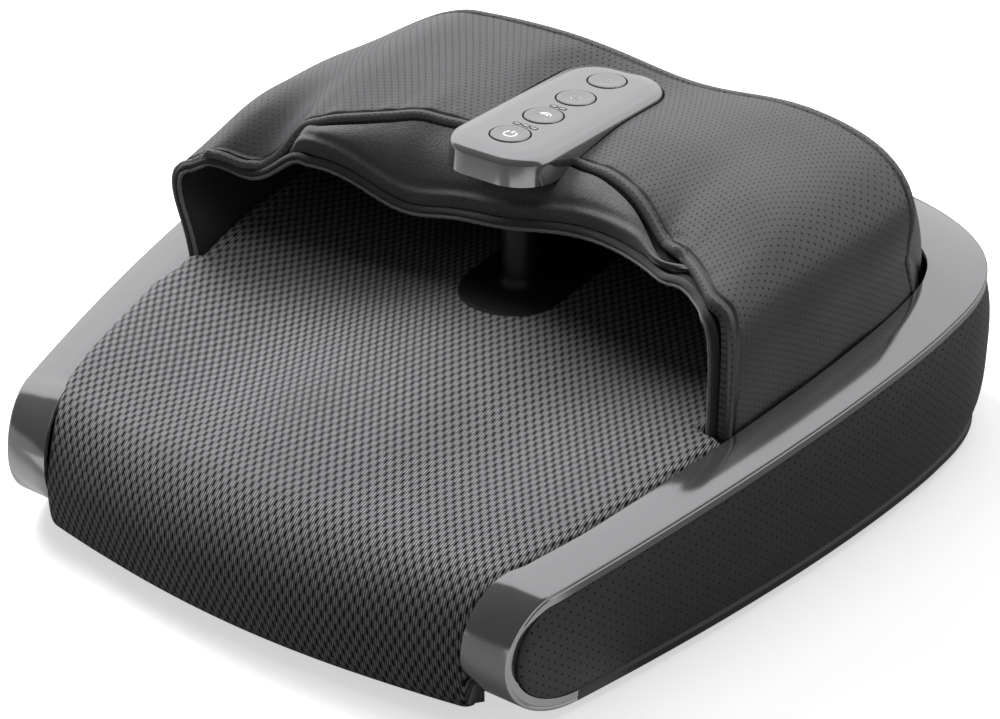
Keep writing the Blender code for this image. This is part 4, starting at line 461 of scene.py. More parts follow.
# Bright cards of the floor's painted reflection glow that only metal shows, as (x from, x to, y from, y
# to)
REFLECTION_CARDS = ((-0.28, -0.13, -0.70, -0.26), (0.145, 1.30, -1.00, -0.12))
CARD_EDGE = 0.03
CARD_REFLECTION_GLOW = 0.68


# The part's own curves

def depth_to_y(depth):
    """Y of a depth measured back from the front of the noses."""
    return depth - MID_DEPTH


def place(x, depth, z):
    """A point of the part from its side offset, depth and height."""
    return Vector((x, depth_to_y(depth), z))


def ease(value, low, high):
    """Smooth step from 0 at low to 1 at high."""
    t = min(max((value - low) / (high - low), 0.0), 1.0)
    return t * t * (3 - 2 * t)


def bell(value, centre, width):
    """Smooth bump of height 1 at the centre."""
    return math.exp(-((value - centre) / width) ** 2)


def mix(a, b, t):
    """Blend from a at t = 0 to b at t = 1."""
    return a + (b - a) * t


def signed_power(value, power):
    """Power of a value that keeps the value's sign."""
    return math.copysign(abs(value) ** power, value)


def front_half_width(depth):
    """Half width of the body in plan, ahead of its widest depth."""
    t = min(max(depth / WIDEST_DEPTH, 0.0), 1.0)
    spread = (BODY_WIDTH - NOSE_WIDTH) / 2
    return NOSE_WIDTH / 2 + spread * (1 - (1 - t) ** SIDE_POWER)


def plan_slope(depth):
    """Change of half width with depth, ahead of the widest depth."""
    t = min(max(depth / WIDEST_DEPTH, 0.0), 1.0)
    spread = (BODY_WIDTH - NOSE_WIDTH) / 2
    return spread * SIDE_POWER * (1 - t) ** (SIDE_POWER - 1) / WIDEST_DEPTH


def side_station(depth):
    """Plan point and outward normal of the right side at a depth."""
    slope = plan_slope(depth)
    size = math.hypot(1.0, slope)
    return front_half_width(depth), depth, 1 / size, -slope / size


def rear_station(angle):
    """Plan point and outward normal where the rear curve faces an angle."""
    side, back = math.cos(angle), math.sin(angle)
    if side < ANGLE_LIMIT:
        return 0.0, BODY_DEPTH, 0.0, 1.0
    ratio = (REAR_CURVE / (BODY_WIDTH / 2) * back / side) ** (1 / (REAR_POWER - 1))
    share = (1 + ratio ** REAR_POWER) ** (-1 / REAR_POWER)
    return (BODY_WIDTH / 2 * share, WIDEST_DEPTH + REAR_CURVE * ratio * share, side, back)


def right_stations(start):
    """Plan stations from a start depth along the right side to the rear."""
    side = [side_station(mix(start, WIDEST_DEPTH, i / SIDE_FINE_STEPS)) for i in range(SIDE_FINE_STEPS)]
    return side + [rear_station(math.pi / 2 * i / REAR_FINE_STEPS) for i in range(REAR_FINE_STEPS + 1)]


def both_sides(right):
    """Stations of the right side, then those of the left one back to its front."""
    return right + [(-x, d, -nx, nd) for x, d, nx, nd in reversed(right[:-1])]


def nose_reach(up):
    """How far back the nose curve runs, above or below its middle."""
    return NOSE_REACH if up > 0 else NOSE_LOW_REACH


def nose_join():
    """Angle, depth and height where the nose curve meets the top line."""
    angle = math.atan(NOSE_RISE_SHARE * NOSE_REACH / NOSE_HALF_HEIGHT)
    depth = NOSE_REACH * (1 - math.sin(angle))
    return angle, depth, NOSE_MID + NOSE_HALF_HEIGHT * math.cos(angle)


def top_height(depth):
    """Height of the band's top face at a depth behind the nose."""
    _, start, height = nose_join()
    run = BODY_DEPTH - start
    droop = (height + NOSE_RISE_SHARE * run - REAR_TOP) / run ** 2
    back = depth - start
    return height + NOSE_RISE_SHARE * back - droop * back ** 2


def band_width(depth):
    """Width of the band's top face at a depth."""
    if depth < BAND_SIDE_DEPTH:
        return mix(BAND_NOSE_WIDTH, BAND_SIDE_WIDTH, max(depth, 0.0) / BAND_SIDE_DEPTH)
    t = (depth - BAND_SIDE_DEPTH) / (BODY_DEPTH - BAND_SIDE_DEPTH)
    return mix(BAND_SIDE_WIDTH, BAND_REAR_WIDTH, t)


def inner_half_width(depth):
    """Half width inside the band's top face at a depth."""
    if depth <= WIDEST_DEPTH:
        return front_half_width(depth) - band_width(depth) * math.hypot(1.0, plan_slope(depth))
    half = BODY_WIDTH / 2 - band_width(WIDEST_DEPTH)
    run = BODY_DEPTH - BAND_REAR_WIDTH - WIDEST_DEPTH
    share = min((depth - WIDEST_DEPTH) / run, 1.0)
    return half * (1 - share ** REAR_POWER) ** (1 / REAR_POWER)


def wrap_range(depth):
    """Lowest and highest point of the side wrap at a depth."""
    lift = BAND_LIP + FIT_GAP
    low, high = FLOOR_GAP + lift, top_height(depth) - lift
    if depth < NOSE_REACH:
        high = NOSE_MID + nose_inset_height(depth, NOSE_REACH, lift)
    if depth < NOSE_LOW_REACH:
        low = NOSE_MID - nose_inset_height(depth, NOSE_LOW_REACH, lift)
    return low, high


def nose_inset_height(depth, reach, lift):
    """Height of the nose curve from its middle, drawn in by the lift."""
    share = min((reach - depth) / (reach - lift), 1.0)
    return (NOSE_HALF_HEIGHT - lift) * math.sqrt(1 - share ** 2)


def pad_half(depth):
    """Half width of the foot pad at a depth."""
    step = PAD_STEP * ease(depth, PAD_STEP_START, PAD_STEP_END)
    return inner_half_width(max(depth, 0.0)) - FIT_GAP - step


def pad_top(x, depth):
    """Height of the pad's upper face."""
    full = ease(depth, TROUGH_START, TROUGH_FULL)
    trough = TROUGH_DEEP * full * (bell(x, TROUGH_X, TROUGH_WIDTH) + bell(x, -TROUGH_X, TROUGH_WIDTH))
    ridge = CENTRE_RIDGE * bell(x, 0.0, TROUGH_WIDTH)
    return top_height(depth) - PAD_EDGE_DROP - trough + ridge


def oval(half, front, rear, steps):
    """Plan outline of a slot with round ends, as (x, depth)."""
    points = []
    for centre, start in ((rear - half, 0.0), (front + half, math.pi)):
        for i in range(steps + 1):
            angle = start + math.pi * i / steps
            points.append((half * math.cos(angle), centre + half * math.sin(angle)))
    return points


def flange_top(depth):
    """Height of the flange's upper face at a depth."""
    front = pad_top(0.0, FLANGE_FRONT) + FLANGE_LIFT
    rear = pad_top(0.0, FLANGE_REAR) + FLANGE_LIFT
    return mix(front, rear, (depth - FLANGE_FRONT) / (FLANGE_REAR - FLANGE_FRONT))


def panel_low_at_post():
    """Lowest height of the panel base over the post."""
    drop = math.sin(PANEL_TILT) * (POST_REAR - BUTTON_FIRST)
    return PANEL_TOP - PANEL_BASE_LOW - max(drop, 0.0)


def rounded_outline(half, front, rear, corner, steps):
    """Rounded rectangle in plan, as (x, depth)."""
    points = []
    centres = ((half - corner, rear - corner, 0), (corner - half, rear - corner, 1),
               (corner - half, front + corner, 2), (half - corner, front + corner, 3))
    for cx, cd, quarter in centres:
        for i in range(steps + 1):
            angle = math.pi / 2 * (quarter + i / steps)
            points.append((cx + corner * math.cos(angle), cd + corner * math.sin(angle)))
    return points


def hood_base(depth):
    """Half width of the hood where it stands inside the band."""
    return inner_half_width(depth) - BASE_INSET


def leather_top(x):
    """Height of the leather's front edge over x, before the arch rounds it."""
    fold = LEFT_FOLD * bell(x, LEFT_FOLD_X, LEFT_FOLD_WIDTH)
    tuck = RIGHT_TUCK * bell(x, RIGHT_TUCK_X, RIGHT_TUCK_WIDTH)
    return LEATHER_FRONT_TOP - fold - tuck


def lip_top(x):
    """Height of the opening's lower edge over x, before the arch rounds it."""
    sag = sum(deep * bell(x, centre, width) for centre, width, deep in LIP_SAGS)
    lift = sum(high * ease(x * side, start, end) for side, start, end, high in LIP_LIFTS)
    return LIP_FRONT_TOP - sag + lift


def front_top(x, lip):
    """Height of the hood's front edge over x, for the leather or the lip."""
    return lip_top(x) if lip else leather_top(x)


def front_depth(x, lip):
    """Depth of the hood's front edge over x, for the leather or the lip."""
    share = min(abs(x) / HOOD_FRONT_HALF, 1.0)
    if lip:
        reach = LIP_FRONT_REACH * bell(x, 0.0, LIP_REACH_WIDTH)
        return LIP_FRONT_CENTRE - LIP_FRONT_SWEEP * share ** 2 - reach
    setback = RIGHT_SETBACK * ease(x, RIGHT_SETBACK_X, HOOD_FRONT_HALF)
    return LEATHER_FRONT_CENTRE - LEATHER_FRONT_SWEEP * share ** 2 + setback


def seam_top(x):
    """Height of the rear seam over x: two lobes with a saddle between."""
    return SEAM_TOP - SADDLE_DEEP * bell(x, SADDLE_X, SADDLE_HALF)


def arch_shares(columns):
    """Even steps along the hood's arch, as (across, rise) shares."""
    high = LEATHER_FRONT_TOP - DECK_TOP
    dense = []
    for i in range(ARCH_STEPS + 1):
        angle = math.pi / 2 * i / ARCH_STEPS
        dense.append((math.cos(angle) ** (2 / HOOD_WALL_POWER),
                      math.sin(angle) ** (2 / HOOD_RISE_POWER)))
    dense[-1] = (0.0, 1.0)
    runs = [0.0]
    for (a0, r0), (a1, r1) in zip(dense, dense[1:]):
        runs.append(runs[-1] + math.hypot((a1 - a0) * HOOD_FRONT_HALF, (r1 - r0) * high))
    right = []
    for i in range(columns // 2):
        goal = runs[-1] * i / (columns // 2)
        k = max(j for j in range(ARCH_STEPS) if runs[j] <= goal)
        t = (goal - runs[k]) / (runs[k + 1] - runs[k])
        right.append((mix(dense[k][0], dense[k + 1][0], t), mix(dense[k][1], dense[k + 1][1], t)))
    return [(-a, r) for a, r in right] + [(0.0, 1.0)] + right[::-1]


def hood_point(share, v, lip=False, inset=0.0, drop=0.0):
    """Point of the hood at an (across, rise) share, v from front to seam.

    v beyond 1 goes down the back panel to the deck at v = 2. The lip form is
    the one that starts at the opening's lower edge.
    """
    across, rise = share
    low = DECK_TOP + PART_GAP + BACK_FOOT_LIFT * max(v - 1.0, 0.0)
    ahead = min(v, 1.0)
    front_x = across * (HOOD_FRONT_HALF - inset)
    seam_d = mix(HOOD_CORNER_DEPTH, SEAM_DEPTH - drop - SEAM_SWEEP * across ** 2,
                 min(rise * SEAM_CORNER_SHARE, 1.0))
    front_d = front_depth(front_x, lip) + (LINING_FRONT_SET if lip else 0.0)
    depth = mix(front_d, seam_d, ahead)
    clear = max(rise - BULGE_START_SHARE, 0.0) / (1 - BULGE_START_SHARE)
    bulge = SIDE_BULGE_SHARE * ahead * math.sin(math.pi * clear)
    x = across * (hood_base(depth) - inset) * (1 + bulge)
    base_top = LIP_FRONT_TOP - LINING_FRONT_DROP if lip else LEATHER_FRONT_TOP
    fold = front_top(x, lip) - (LIP_FRONT_TOP if lip else LEATHER_FRONT_TOP)
    fade = (1 - ahead) ** (LIP_FADE_POWER if lip else FOLD_FADE_POWER)
    top = mix(base_top, seam_top(x) - drop, ahead) + fold * fade
    top += CROWN_LIFT * 4 * ahead * (1 - ahead)
    top -= LEFT_DROP * ahead * ease(-x, LEFT_DROP_START, LEFT_DROP_END)
    z = low + (top - low) * rise
    if v <= 1.0:
        return Vector((x, depth, z))
    down = v - 1.0
    spread = signed_power(across, HOOD_WALL_POWER / HOOD_BACK_POWER)
    foot_x = spread * (HOOD_BACK_HALF - inset)
    run = BODY_DEPTH - BAND_REAR_WIDTH - BASE_INSET - inset - WIDEST_DEPTH
    side = BODY_WIDTH / 2 - band_width(WIDEST_DEPTH) - BASE_INSET - inset
    foot_d = WIDEST_DEPTH + run * (1 - abs(foot_x / side) ** REAR_POWER) ** (1 / REAR_POWER)
    back = 1 - (1 - down) ** HOOD_BACK_EASE
    return Vector((mix(x, foot_x, down), mix(depth, foot_d, back), mix(z, low, down)))


def leather_edge(x):
    """Front edge of the leather over x, where it is shown."""
    edge = Vector((x, front_depth(x, False), front_top(x, False)))
    edge.z += table_value(LEATHER_SHIFT, x)
    return edge


def lip_edge(x):
    """Lower front edge of the opening over x."""
    return Vector((x, front_depth(x, True), front_top(x, True)))


def lip_path(share):
    """Point of the binding's middle at an (across, rise) share."""
    across, rise = share
    x = across * (HOOD_FRONT_HALF - HOOD_THICK - BINDING_RADIUS - BASE_INSET - FIT_GAP)
    low = DECK_TOP + PART_GAP
    return Vector((x, front_depth(x, True) - BINDING_RADIUS - FIT_GAP,
                   low + (front_top(x, True) - low) * rise))


# Meshes made from rows of points

def skin(name, rows, uvs=None, around=False):
    """Mesh piece of quads over rows of points, with its own UV map in metres."""
    count = len(rows[0])
    faces, corners = [], []
    for j in range(len(rows) - 1):
        for i in range(count if around else count - 1):
            k = (i + 1) % count
            faces.append((j * count + i, j * count + k, (j + 1) * count + k, (j + 1) * count + i))
            corners += [(j, i), (j, i + 1), (j + 1, i + 1), (j + 1, i)]
    mesh = bpy.data.meshes.new(name)
    mesh.from_pydata([p for row in rows for p in row], [], faces)
    if uvs:
        layer = mesh.uv_layers.new(name="UVMap")
        layer.uv.foreach_set("vector", [value for j, i in corners for value in uvs[j][i]])
    obj = add_object(name, mesh)
    if not around and sum(f.normal.z * f.area for f in mesh.polygons) <= 0:
        mesh.flip_normals()
    mesh.shade_smooth()
    return obj


def add_object(name, data):
    """New object of the picture for some data."""
    obj = bpy.data.objects.new(name, data)
    bpy.context.scene.collection.objects.link(obj)
    return obj


def close_ends(obj):
    """Cap the open ends of a tube-like piece and turn its normals outwards."""
    bm = bmesh.new()
    bm.from_mesh(obj.data)
    open_edges = [e for e in bm.edges if e.is_boundary]
    if open_edges:
        bmesh.ops.holes_fill(bm, edges=open_edges, sides=0)
    bmesh.ops.recalc_face_normals(bm, faces=bm.faces)
    bm.to_mesh(obj.data)
    bm.free()
    obj.data.shade_smooth()


def sharpen(obj, degrees):
    """Smooth shading with sharp edges past an angle."""
    obj.data.set_sharp_from_angle(angle=math.radians(degrees))


def apply_modifiers(obj):
    """Apply every modifier of a piece."""
    select_only(obj)
    for mod in list(obj.modifiers):
        bpy.ops.object.modifier_apply(modifier=mod.name)


def select_only(obj):
    """Make a piece the only selected and active one."""
    bpy.ops.object.select_all(action='DESELECT')
    obj.select_set(True)
    bpy.context.view_layer.objects.active = obj


def thicken(obj, thick):
    """Give an open sheet its thickness below its outer face."""
    mod = obj.modifiers.new("thickness", 'SOLIDIFY')
    mod.thickness = thick
    mod.offset = -1.0
    mod.use_rim = True
    apply_modifiers(obj)


def cut(obj, *cutters):
    """Cut a piece with others and delete them."""
    for cutter in cutters:
        mod = obj.modifiers.new(cutter.name, 'BOOLEAN')
        mod.operation = 'DIFFERENCE'
        mod.solver = 'MANIFOLD'
        mod.object = cutter
    apply_modifiers(obj)
    for cutter in cutters:
        bpy.data.objects.remove(cutter)


def grid_normals(rows):
    """Unit normals of a grid of points, on the side that faces up or out."""
    normals = []
    last_j, last_i = len(rows) - 1, len(rows[0]) - 1
    for j, row in enumerate(rows):
        line = []
        for i in range(len(row)):
            along = rows[min(j + 1, last_j)][i] - rows[max(j - 1, 0)][i]
            across = row[min(i + 1, last_i)] - row[max(i - 1, 0)]
            normal = across.cross(along)
            line.append(normal.normalized() if normal.length > 0 else Vector((0, 0, 1)))
        normals.append(line)
    return normals


def run_lengths(points):
    """Distance along a chain of points, from its first one."""
    runs = [0.0]
    for a, b in zip(points, points[1:]):
        runs.append(runs[-1] + (b - a).length)
    return runs


def heading(spots, i):
    """Direction of a chain of points at one of them."""
    return (spots[min(i + 1, len(spots) - 1)] - spots[max(i - 1, 0)]).normalized()


def dress(obj, slot, *nodes, body="base", finish=None):
    """Give a piece the finish of its slot or a named finish, attach it to its body and hide the nodes
    it stands for.
    """
    obj.data.materials.clear()
    obj.data.materials.append(FINISHES[finish or slot])
    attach(obj, body)
    if nodes:
        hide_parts(*nodes)


def closed_piece(name, rings, uvs, degrees, slot, node, finish=None):
    """Closed piece over rings of points, with sharp edges past an angle."""
    piece = skin(name, rings, uvs, around=True)
    close_ends(piece)
    sharpen(piece, degrees)
    dress(piece, slot, node, finish=finish)
    return piece


def sheet_piece(name, rows, uvs, thick, cutters, degrees, slot, node):
    """Cloth that is held stretched and cut out, with sharp edges past an angle."""
    piece = skin(name, rows, uvs)
    thicken(piece, thick)
    cut(piece, *cutters)
    sharpen(piece, degrees)
    dress(piece, slot, node)


# Body pieces

def band_profile(width):
    """Cross-section of the band as (inward, along the normal) points."""
    outside = [(a * MM, n * MM) for a, n in BAND_EDGE]
    face = [(width * share, 0.0) for share in BAND_FACE_SHARES]
    inside = [(width - a * MM, -n * MM) for a, n in BAND_INNER_EDGE]
    return ([(0.0, -BAND_LIP)] + outside + face + inside
            + [(width, -BAND_THICK), (BAND_THICK, -BAND_THICK), (BAND_THICK, -BAND_LIP)])


def band_stations():
    """Frames along the band: outer point, normal, inward direction and width."""
    join_angle, join_depth, _ = nose_join()
    hook = Vector((front_half_width(HOOK_END), depth_to_y(HOOK_END), FLOOR_GAP))
    right = [(hook, Vector((0, 0, -1)), Vector((-1, 0, 0)), band_width(HOOK_END))]
    for i in range(NOSE_FINE_STEPS + 1):
        angle = mix(math.pi, join_angle, i / NOSE_FINE_STEPS)
        reach = nose_reach(math.cos(angle))
        depth = reach * (1 - math.sin(angle))
        outer = place(front_half_width(depth), depth, NOSE_MID + NOSE_HALF_HEIGHT * math.cos(angle))
        normal = Vector((0, -math.sin(angle) / reach, math.cos(angle) / NOSE_HALF_HEIGHT))
        normal.normalize()
        turn = plan_slope(depth) * ease(math.cos(angle), NOSE_TURN_SHARE, 1.0)
        inward = Vector((-1, turn, 0))
        inward = (inward - normal * inward.dot(normal)).normalized()
        right.append((outer, normal, inward, band_width(depth)))
    for x, depth, nx, nd in right_stations(join_depth)[1:]:
        outer = place(x, depth, top_height(depth))
        right.append((outer, Vector((0, 0, 1)), Vector((-nx, -nd, 0)), band_width(depth)))
    flip = Vector((-1, 1, 1))
    left = [(o * flip, n, a * flip, w) for o, n, a, w in reversed(right[:-1])]
    return right + left


def make_band():
    """Metal band from nose to nose, with the fine groove under its edge."""
    rings, uvs, run, last = [], [], 0.0, None
    for outer, normal, inward, width in band_stations():
        run += (outer - last).length if last else 0.0
        last = outer
        profile = band_profile(width)
        rings.append([outer + inward * a + normal * n for a, n in profile])
        uvs.append([(run, a) for a, n in profile + profile[:1]])
    closed_piece("metal_band", rings, uvs, 38, "satin_trim", "trim_band")


def wrap_stations():
    """Plan stations of the side wrap, close together inside the noses."""
    start = BAND_LIP + FIT_GAP + WRAP_TIP
    nose = [side_station(start + (NOSE_LOW_REACH - start) * (i / NOSE_WRAP_STEPS) ** 2)
            for i in range(NOSE_WRAP_STEPS)]
    return both_sides(nose + right_stations(NOSE_LOW_REACH))


def make_side_wrap():
    """Padded leatherette round the sides, fuller over the rear corners."""
    rings, uvs, run, last = [], [], 0.0, None
    for x, depth, nx, nd in wrap_stations():
        low, high = wrap_range(depth)
        spot = Vector((x, depth, 0.0))
        run += (spot - last).length if last else 0.0
        last = spot
        full = WRAP_BULGE * ease(high - low, 0.0, WRAP_FULL_HEIGHT)
        full += REAR_BULGE * ease(depth, *REAR_BULGE_DEPTHS) * ease(abs(x), *REAR_BULGE_SIDES)
        ring, line = [], []
        for i in range(WRAP_FINE_STEPS + 1):
            share = i / WRAP_FINE_STEPS
            out = full * (1 - abs(2 * share - 1) ** WRAP_ROUND_POWER) - WRAP_INSET
            ring.append(place(x + nx * out, depth + nd * out, mix(low, high, share)))
            line.append((run, mix(low, high, share)))
        back = WRAP_INSET + WRAP_THICK
        for height in (high, low):
            ring.append(place(x - nx * back, depth - nd * back, height))
            line.append((run, height))
        line.append((run, low))
        rings.append(ring)
        uvs.append(line)
    closed_piece("side_leather", rings, uvs, 50, "leatherette", "side_wrap", "side_leather")


def make_lower_rail():
    """Plastic rail under the sides, with a chamfer along its top."""
    high = BAND_LIP
    section = [(0.5 * MM, 0.0), (0.0, 0.5 * MM), (0.0, high - 1.9 * MM), (0.25 * MM, high - 1.5 * MM),
               (1.2 * MM, high - 0.2 * MM), (1.6 * MM, high), (RAIL_THICK, high), (RAIL_THICK, 0.0)]
    rings = [[place(x - nx * a, depth - nd * a, FLOOR_GAP + z) for a, z in section]
             for x, depth, nx, nd in both_sides(right_stations(HOOK_END + FIT_GAP))]
    closed_piece("base_rail", rings, None, 30, "rail_plastic", "lower_rail")


# Foot pad

def spread_shares(steps, edge_shares):
    """Shares from -1 to 1, with extra ones near both ends."""
    inner = edge_shares[-1]
    middle = [mix(-inner, inner, i / steps) for i in range(steps + 1)]
    return [-s for s in edge_shares[:-1]] + middle + list(reversed(edge_shares[:-1]))


def shown_pad_front(x):
    """Depth of the cushion's front face, fuller at its corners than the solid's."""
    return -PAD_OVERHANG + PAD_SHOWN_BOW * (x / PAD_NOSE_HALF) ** 2


def shown_pad_x(share, depth):
    """Side offset of a column of the cushion, drawn in only inside the hood's walls."""
    start = WALL_FOOT_LEFT if share < 0 else WALL_FOOT_RIGHT
    step = PAD_STEP * ease(depth, start - WALL_FOOT_RUN, start) * ease(abs(share), STEP_INSIDE, 1.0)
    step *= LEFT_STEP if share < 0 else 1.0
    half = inner_half_width(max(depth, 0.0)) - FIT_GAP
    return share * half - math.copysign(step, share)


def pad_depths():
    """Depths of the cushion's rows behind its nose, close together by the hood's walls."""
    stops = ((PAD_NOSE_BACK, WALL_FOOT_LEFT - WALL_FOOT_RUN, PAD_OPEN_FINE),
             (WALL_FOOT_LEFT - WALL_FOOT_RUN, WALL_FOOT_RIGHT, PAD_FOOT_FINE),
             (WALL_FOOT_RIGHT, PAD_REAR, PAD_HIDDEN_FINE))
    return [mix(low, high, (i + 1) / steps) for low, high, steps in stops for i in range(steps)]


def pad_section(share):
    """Upper profile of the pad at a share of its half width, as (x, depth, z)."""
    edge = share * PAD_NOSE_HALF
    front = shown_pad_front(edge)
    crest = pad_top(edge, PAD_NOSE_BACK)
    points = []
    for i in range(PAD_HEEL_FINE + 1):
        angle = math.pi / 2 * i / PAD_HEEL_FINE
        points.append((front + PAD_UNDERCUT * (1 - math.sin(angle)),
                       PAD_LOW + PAD_HEEL * (1 - math.cos(angle))))
    rise = (PAD_BELLY - PAD_LOW - PAD_HEEL)
    for i in range(1, PAD_FACE_FINE):
        points.append((front, PAD_LOW + PAD_HEEL + rise * i / PAD_FACE_FINE))
    for i in range(PAD_NOSE_FINE + 1):
        angle = math.pi / 2 * i / PAD_NOSE_FINE
        points.append((mix(front, PAD_NOSE_BACK, 1 - math.cos(angle)),
                       mix(PAD_BELLY, crest, math.sin(angle))))
    points += [(depth, None) for depth in pad_depths()]
    chain = []
    for depth, z in points:
        x = shown_pad_x(share, depth)
        chain.append(Vector((x, depth, pad_top(x, depth) if z is None else z)))
    return chain


def pad_swell(x, depth, z):
    """Forward and sideways swell of the pad's lower front corners."""
    low = bell(z, *SWELL_HEIGHTS) * ease(SWELL_BEHIND - depth, 0.0, SWELL_RUN)
    corner = ease(abs(x), *SWELL_CORNERS)
    return low * (PAD_FRONT_SWELL * (1 - corner) + PAD_CORNER_SWELL * corner), low * corner


def pad_wrinkle(x, depth):
    """Slight wrinkles where the mesh is drawn under the hood's edge, with waves per metre."""
    near = bell(depth, PAD_STEP_START + WRINKLE_BEHIND, WRINKLE_WIDTH) * ease(abs(x), *WRINKLE_SIDES)
    wave = math.sin(x * 260 + 2.1 * math.sin(depth * 90)) * math.sin(depth * 190 + x * 40)
    slanted = x + CREASE_SLANT * (depth - CREASE_MID)
    crease = bell(slanted, CREASE_X, CREASE_WIDTH) * bell(depth, *CREASE_DEPTHS)
    high = WRINKLE_HIGH * near * wave + PAD_WAVE_HIGH * math.sin(x * 31 + 4) * math.sin(depth * 27)
    return high - CREASE_DEEP * crease


def pad_lift(x, depth):
    """Rise of the soft cushion above its solid, most along the left edge."""
    front = ease(depth, *LIFT_FRONT)
    left = LEFT_LIFT * ease(-x, *LEFT_LIFT_SIDES) * front
    left += FOOT_LIFT * ease(-x, *FOOT_LIFT_SIDES) * ease(depth, *FOOT_LIFT_DEPTHS)
    right = RIGHT_LIFT * ease(x, *RIGHT_LIFT_SIDES) * front
    return (left + right) * (1 - ease(depth, *LIFT_FADE))


def band_overlap(share, depth):
    """How far, from 0 to 1, the cushion's left edge lies over the band."""
    if share > 0:
        return 0.0
    return ease(depth, *OVERLAP_START) * (1 - ease(depth, *OVERLAP_END))


def soft_point(point, share, outward):
    """Where a point of the cushion's solid comes to lie in the soft one."""
    inside = (1 - abs(share)) * PAD_NOSE_HALF
    over = band_overlap(share, point.y)
    lift = pad_lift(share * PAD_NOSE_HALF, point.y)
    reach = mix(PAD_EDGE_ROLL, PAD_SOFT_ROLL, ease(point.y, 0.0, SOFT_ROLL_RUN))
    roll = min(inside / reach, 1.0)
    drop = 1 - math.sqrt(1 - (1 - roll) ** 2)
    low = top_height(max(point.y, PAD_NOSE_BACK)) + OVERLAP_GAP
    held = HELD_EDGE * ease(point.y, *HELD_DEPTHS)
    sink = mix(PAD_EDGE_ROLL * EDGE_SINK + lift * (1 - held), max(point.z + lift - low, 0.0), over)
    forward, side = pad_swell(point.x, point.y, point.z)
    moved = point + outward * (lift - drop * sink + pad_wrinkle(point.x, point.y))
    moved.y -= forward
    spread = PAD_SIDE_SWELL * side + OVERLAP * over * ease(abs(share), *OVERLAP_SHARES)
    moved.x += math.copysign(spread, point.x)
    return moved


def under_nose(share, angle):
    """Point of the pad's underside where it turns down round the deck's nose."""
    run_in = DECK_NOSE_START - DECK_FRONT
    depth = DECK_NOSE_START - (run_in + PART_GAP) * math.sin(angle)
    high = DECK_TOP + PART_GAP - run_in * (1 - math.cos(angle))
    return Vector((share * pad_half(depth), depth, high))


def pad_underside(share):
    """Underside of the pad at a share, from its rear round the deck's nose to its front edge."""
    tail = [Vector((share * pad_half(depth), depth, DECK_TOP + PART_GAP))
            for depth in (PAD_REAR, PAD_UNDER_MID, DECK_NOSE_START)]
    tail += [under_nose(share, math.pi / 2 * i / PAD_UNDER_FINE) for i in range(1, PAD_UNDER_FINE + 1)]
    return tail + [Vector((share * pad_half(0.0), DECK_FRONT - PART_GAP, PAD_LOW))]


def side_foot(chain, share):
    """Lower edge of the pad's side wall, one point for each point of its upper edge."""
    front = PAD_HEEL_FINE + PAD_FACE_FINE + PAD_NOSE_FINE
    foot = [under_nose(share, math.pi / 2 * (1 - i / front)) for i in range(front + 1)]
    foot[0].z = PAD_LOW
    return foot + [Vector((shown_pad_x(share, point.y), point.y, DECK_TOP + PART_GAP))
                   for point in chain[front + 1:]]


def make_foot_pad():
    """Cushion of woven mesh rolled over the front of the deck."""
    shares = spread_shares(PAD_COLUMNS, PAD_EDGE_SHARES)
    columns = [pad_section(share) for share in shares]
    middle = grid_normals(columns)[len(shares) // 2]
    turn = 1.0 if middle[-1].z > 0 else -1.0
    ways = [Vector((0.0, n.y, n.z)).normalized() * turn for n in middle]
    rows, uvs = [], []
    for chain, share in zip(columns, shares):
        runs = run_lengths(chain)
        top = [soft_point(point, share, way) for point, way in zip(chain, ways)]
        marks = [(point.x, run) for point, run in zip(top, runs)]
        tail = pad_underside(share)
        marks += [(p.x, runs[-1] + UNDER_STEP * (k + 1)) for k, p in enumerate(tail)] + [marks[0]]
        rows.append(top + tail)
        uvs.append(marks)
    for end, share in ((0, -1.0), (-1, 1.0)):
        edge, marks, chain = rows[end], uvs[end], columns[end]
        tucked = [p - Vector((share * OVERLAP * band_overlap(share, p.y), 0.0, OVERLAP_GAP))
                  for p in edge[:len(chain)]]
        for made in (tucked, side_foot(chain, share)):
            at = len(rows) if end else 0
            rows.insert(at, made + edge[len(chain):])
            uvs.insert(at, marks)
    placed = [[place(*p) for p in row] for row in rows]
    pad = closed_piece("mesh_foot_pad", placed, uvs, 70, "mesh_cloth", "foot_pad")


# Hood

def hood_row_values():
    """v of each hood row: close together at the front roll and at the rear hem."""
    front = [i * HOOD_FINE_V for i in range(HOOD_ROLL_ROWS)]
    middle = [mix(front[-1] + HOOD_FINE_V, 1 - HOOD_HEM_V, i / HOOD_MIDDLE_ROWS)
              for i in range(HOOD_MIDDLE_ROWS)]
    hem = [mix(1 - HOOD_HEM_V, 1.0, i / HOOD_HEM_ROWS) for i in range(HOOD_HEM_ROWS + 1)]
    back = [1 + ((i + 1) / HOOD_BACK_ROWS) ** 1.5 for i in range(HOOD_BACK_ROWS)]
    return front + middle + hem + back


def panel_gap(x, depth):
    """Distance of a plan point outside the control panel's outline."""
    mid = (PANEL_FRONT + PANEL_REAR) / 2
    dx = max(abs(x) - (PANEL_HALF - PANEL_CORNER), 0.0)
    dd = max(abs(depth - mid) - (PANEL_LENGTH / 2 - PANEL_CORNER), 0.0)
    return math.hypot(dx, dd) - PANEL_CORNER


def roll_height(gap):
    """Drop of the leather under the piping and at the stitch groove behind it."""
    under = ROLL_UNDER * (1 - ease(gap, ROLL_START, ROLL_WIDTH))
    return -under - GROOVE_DEEP * bell(gap, ROLL_WIDTH + GROOVE_BEHIND, GROOVE_WIDTH)


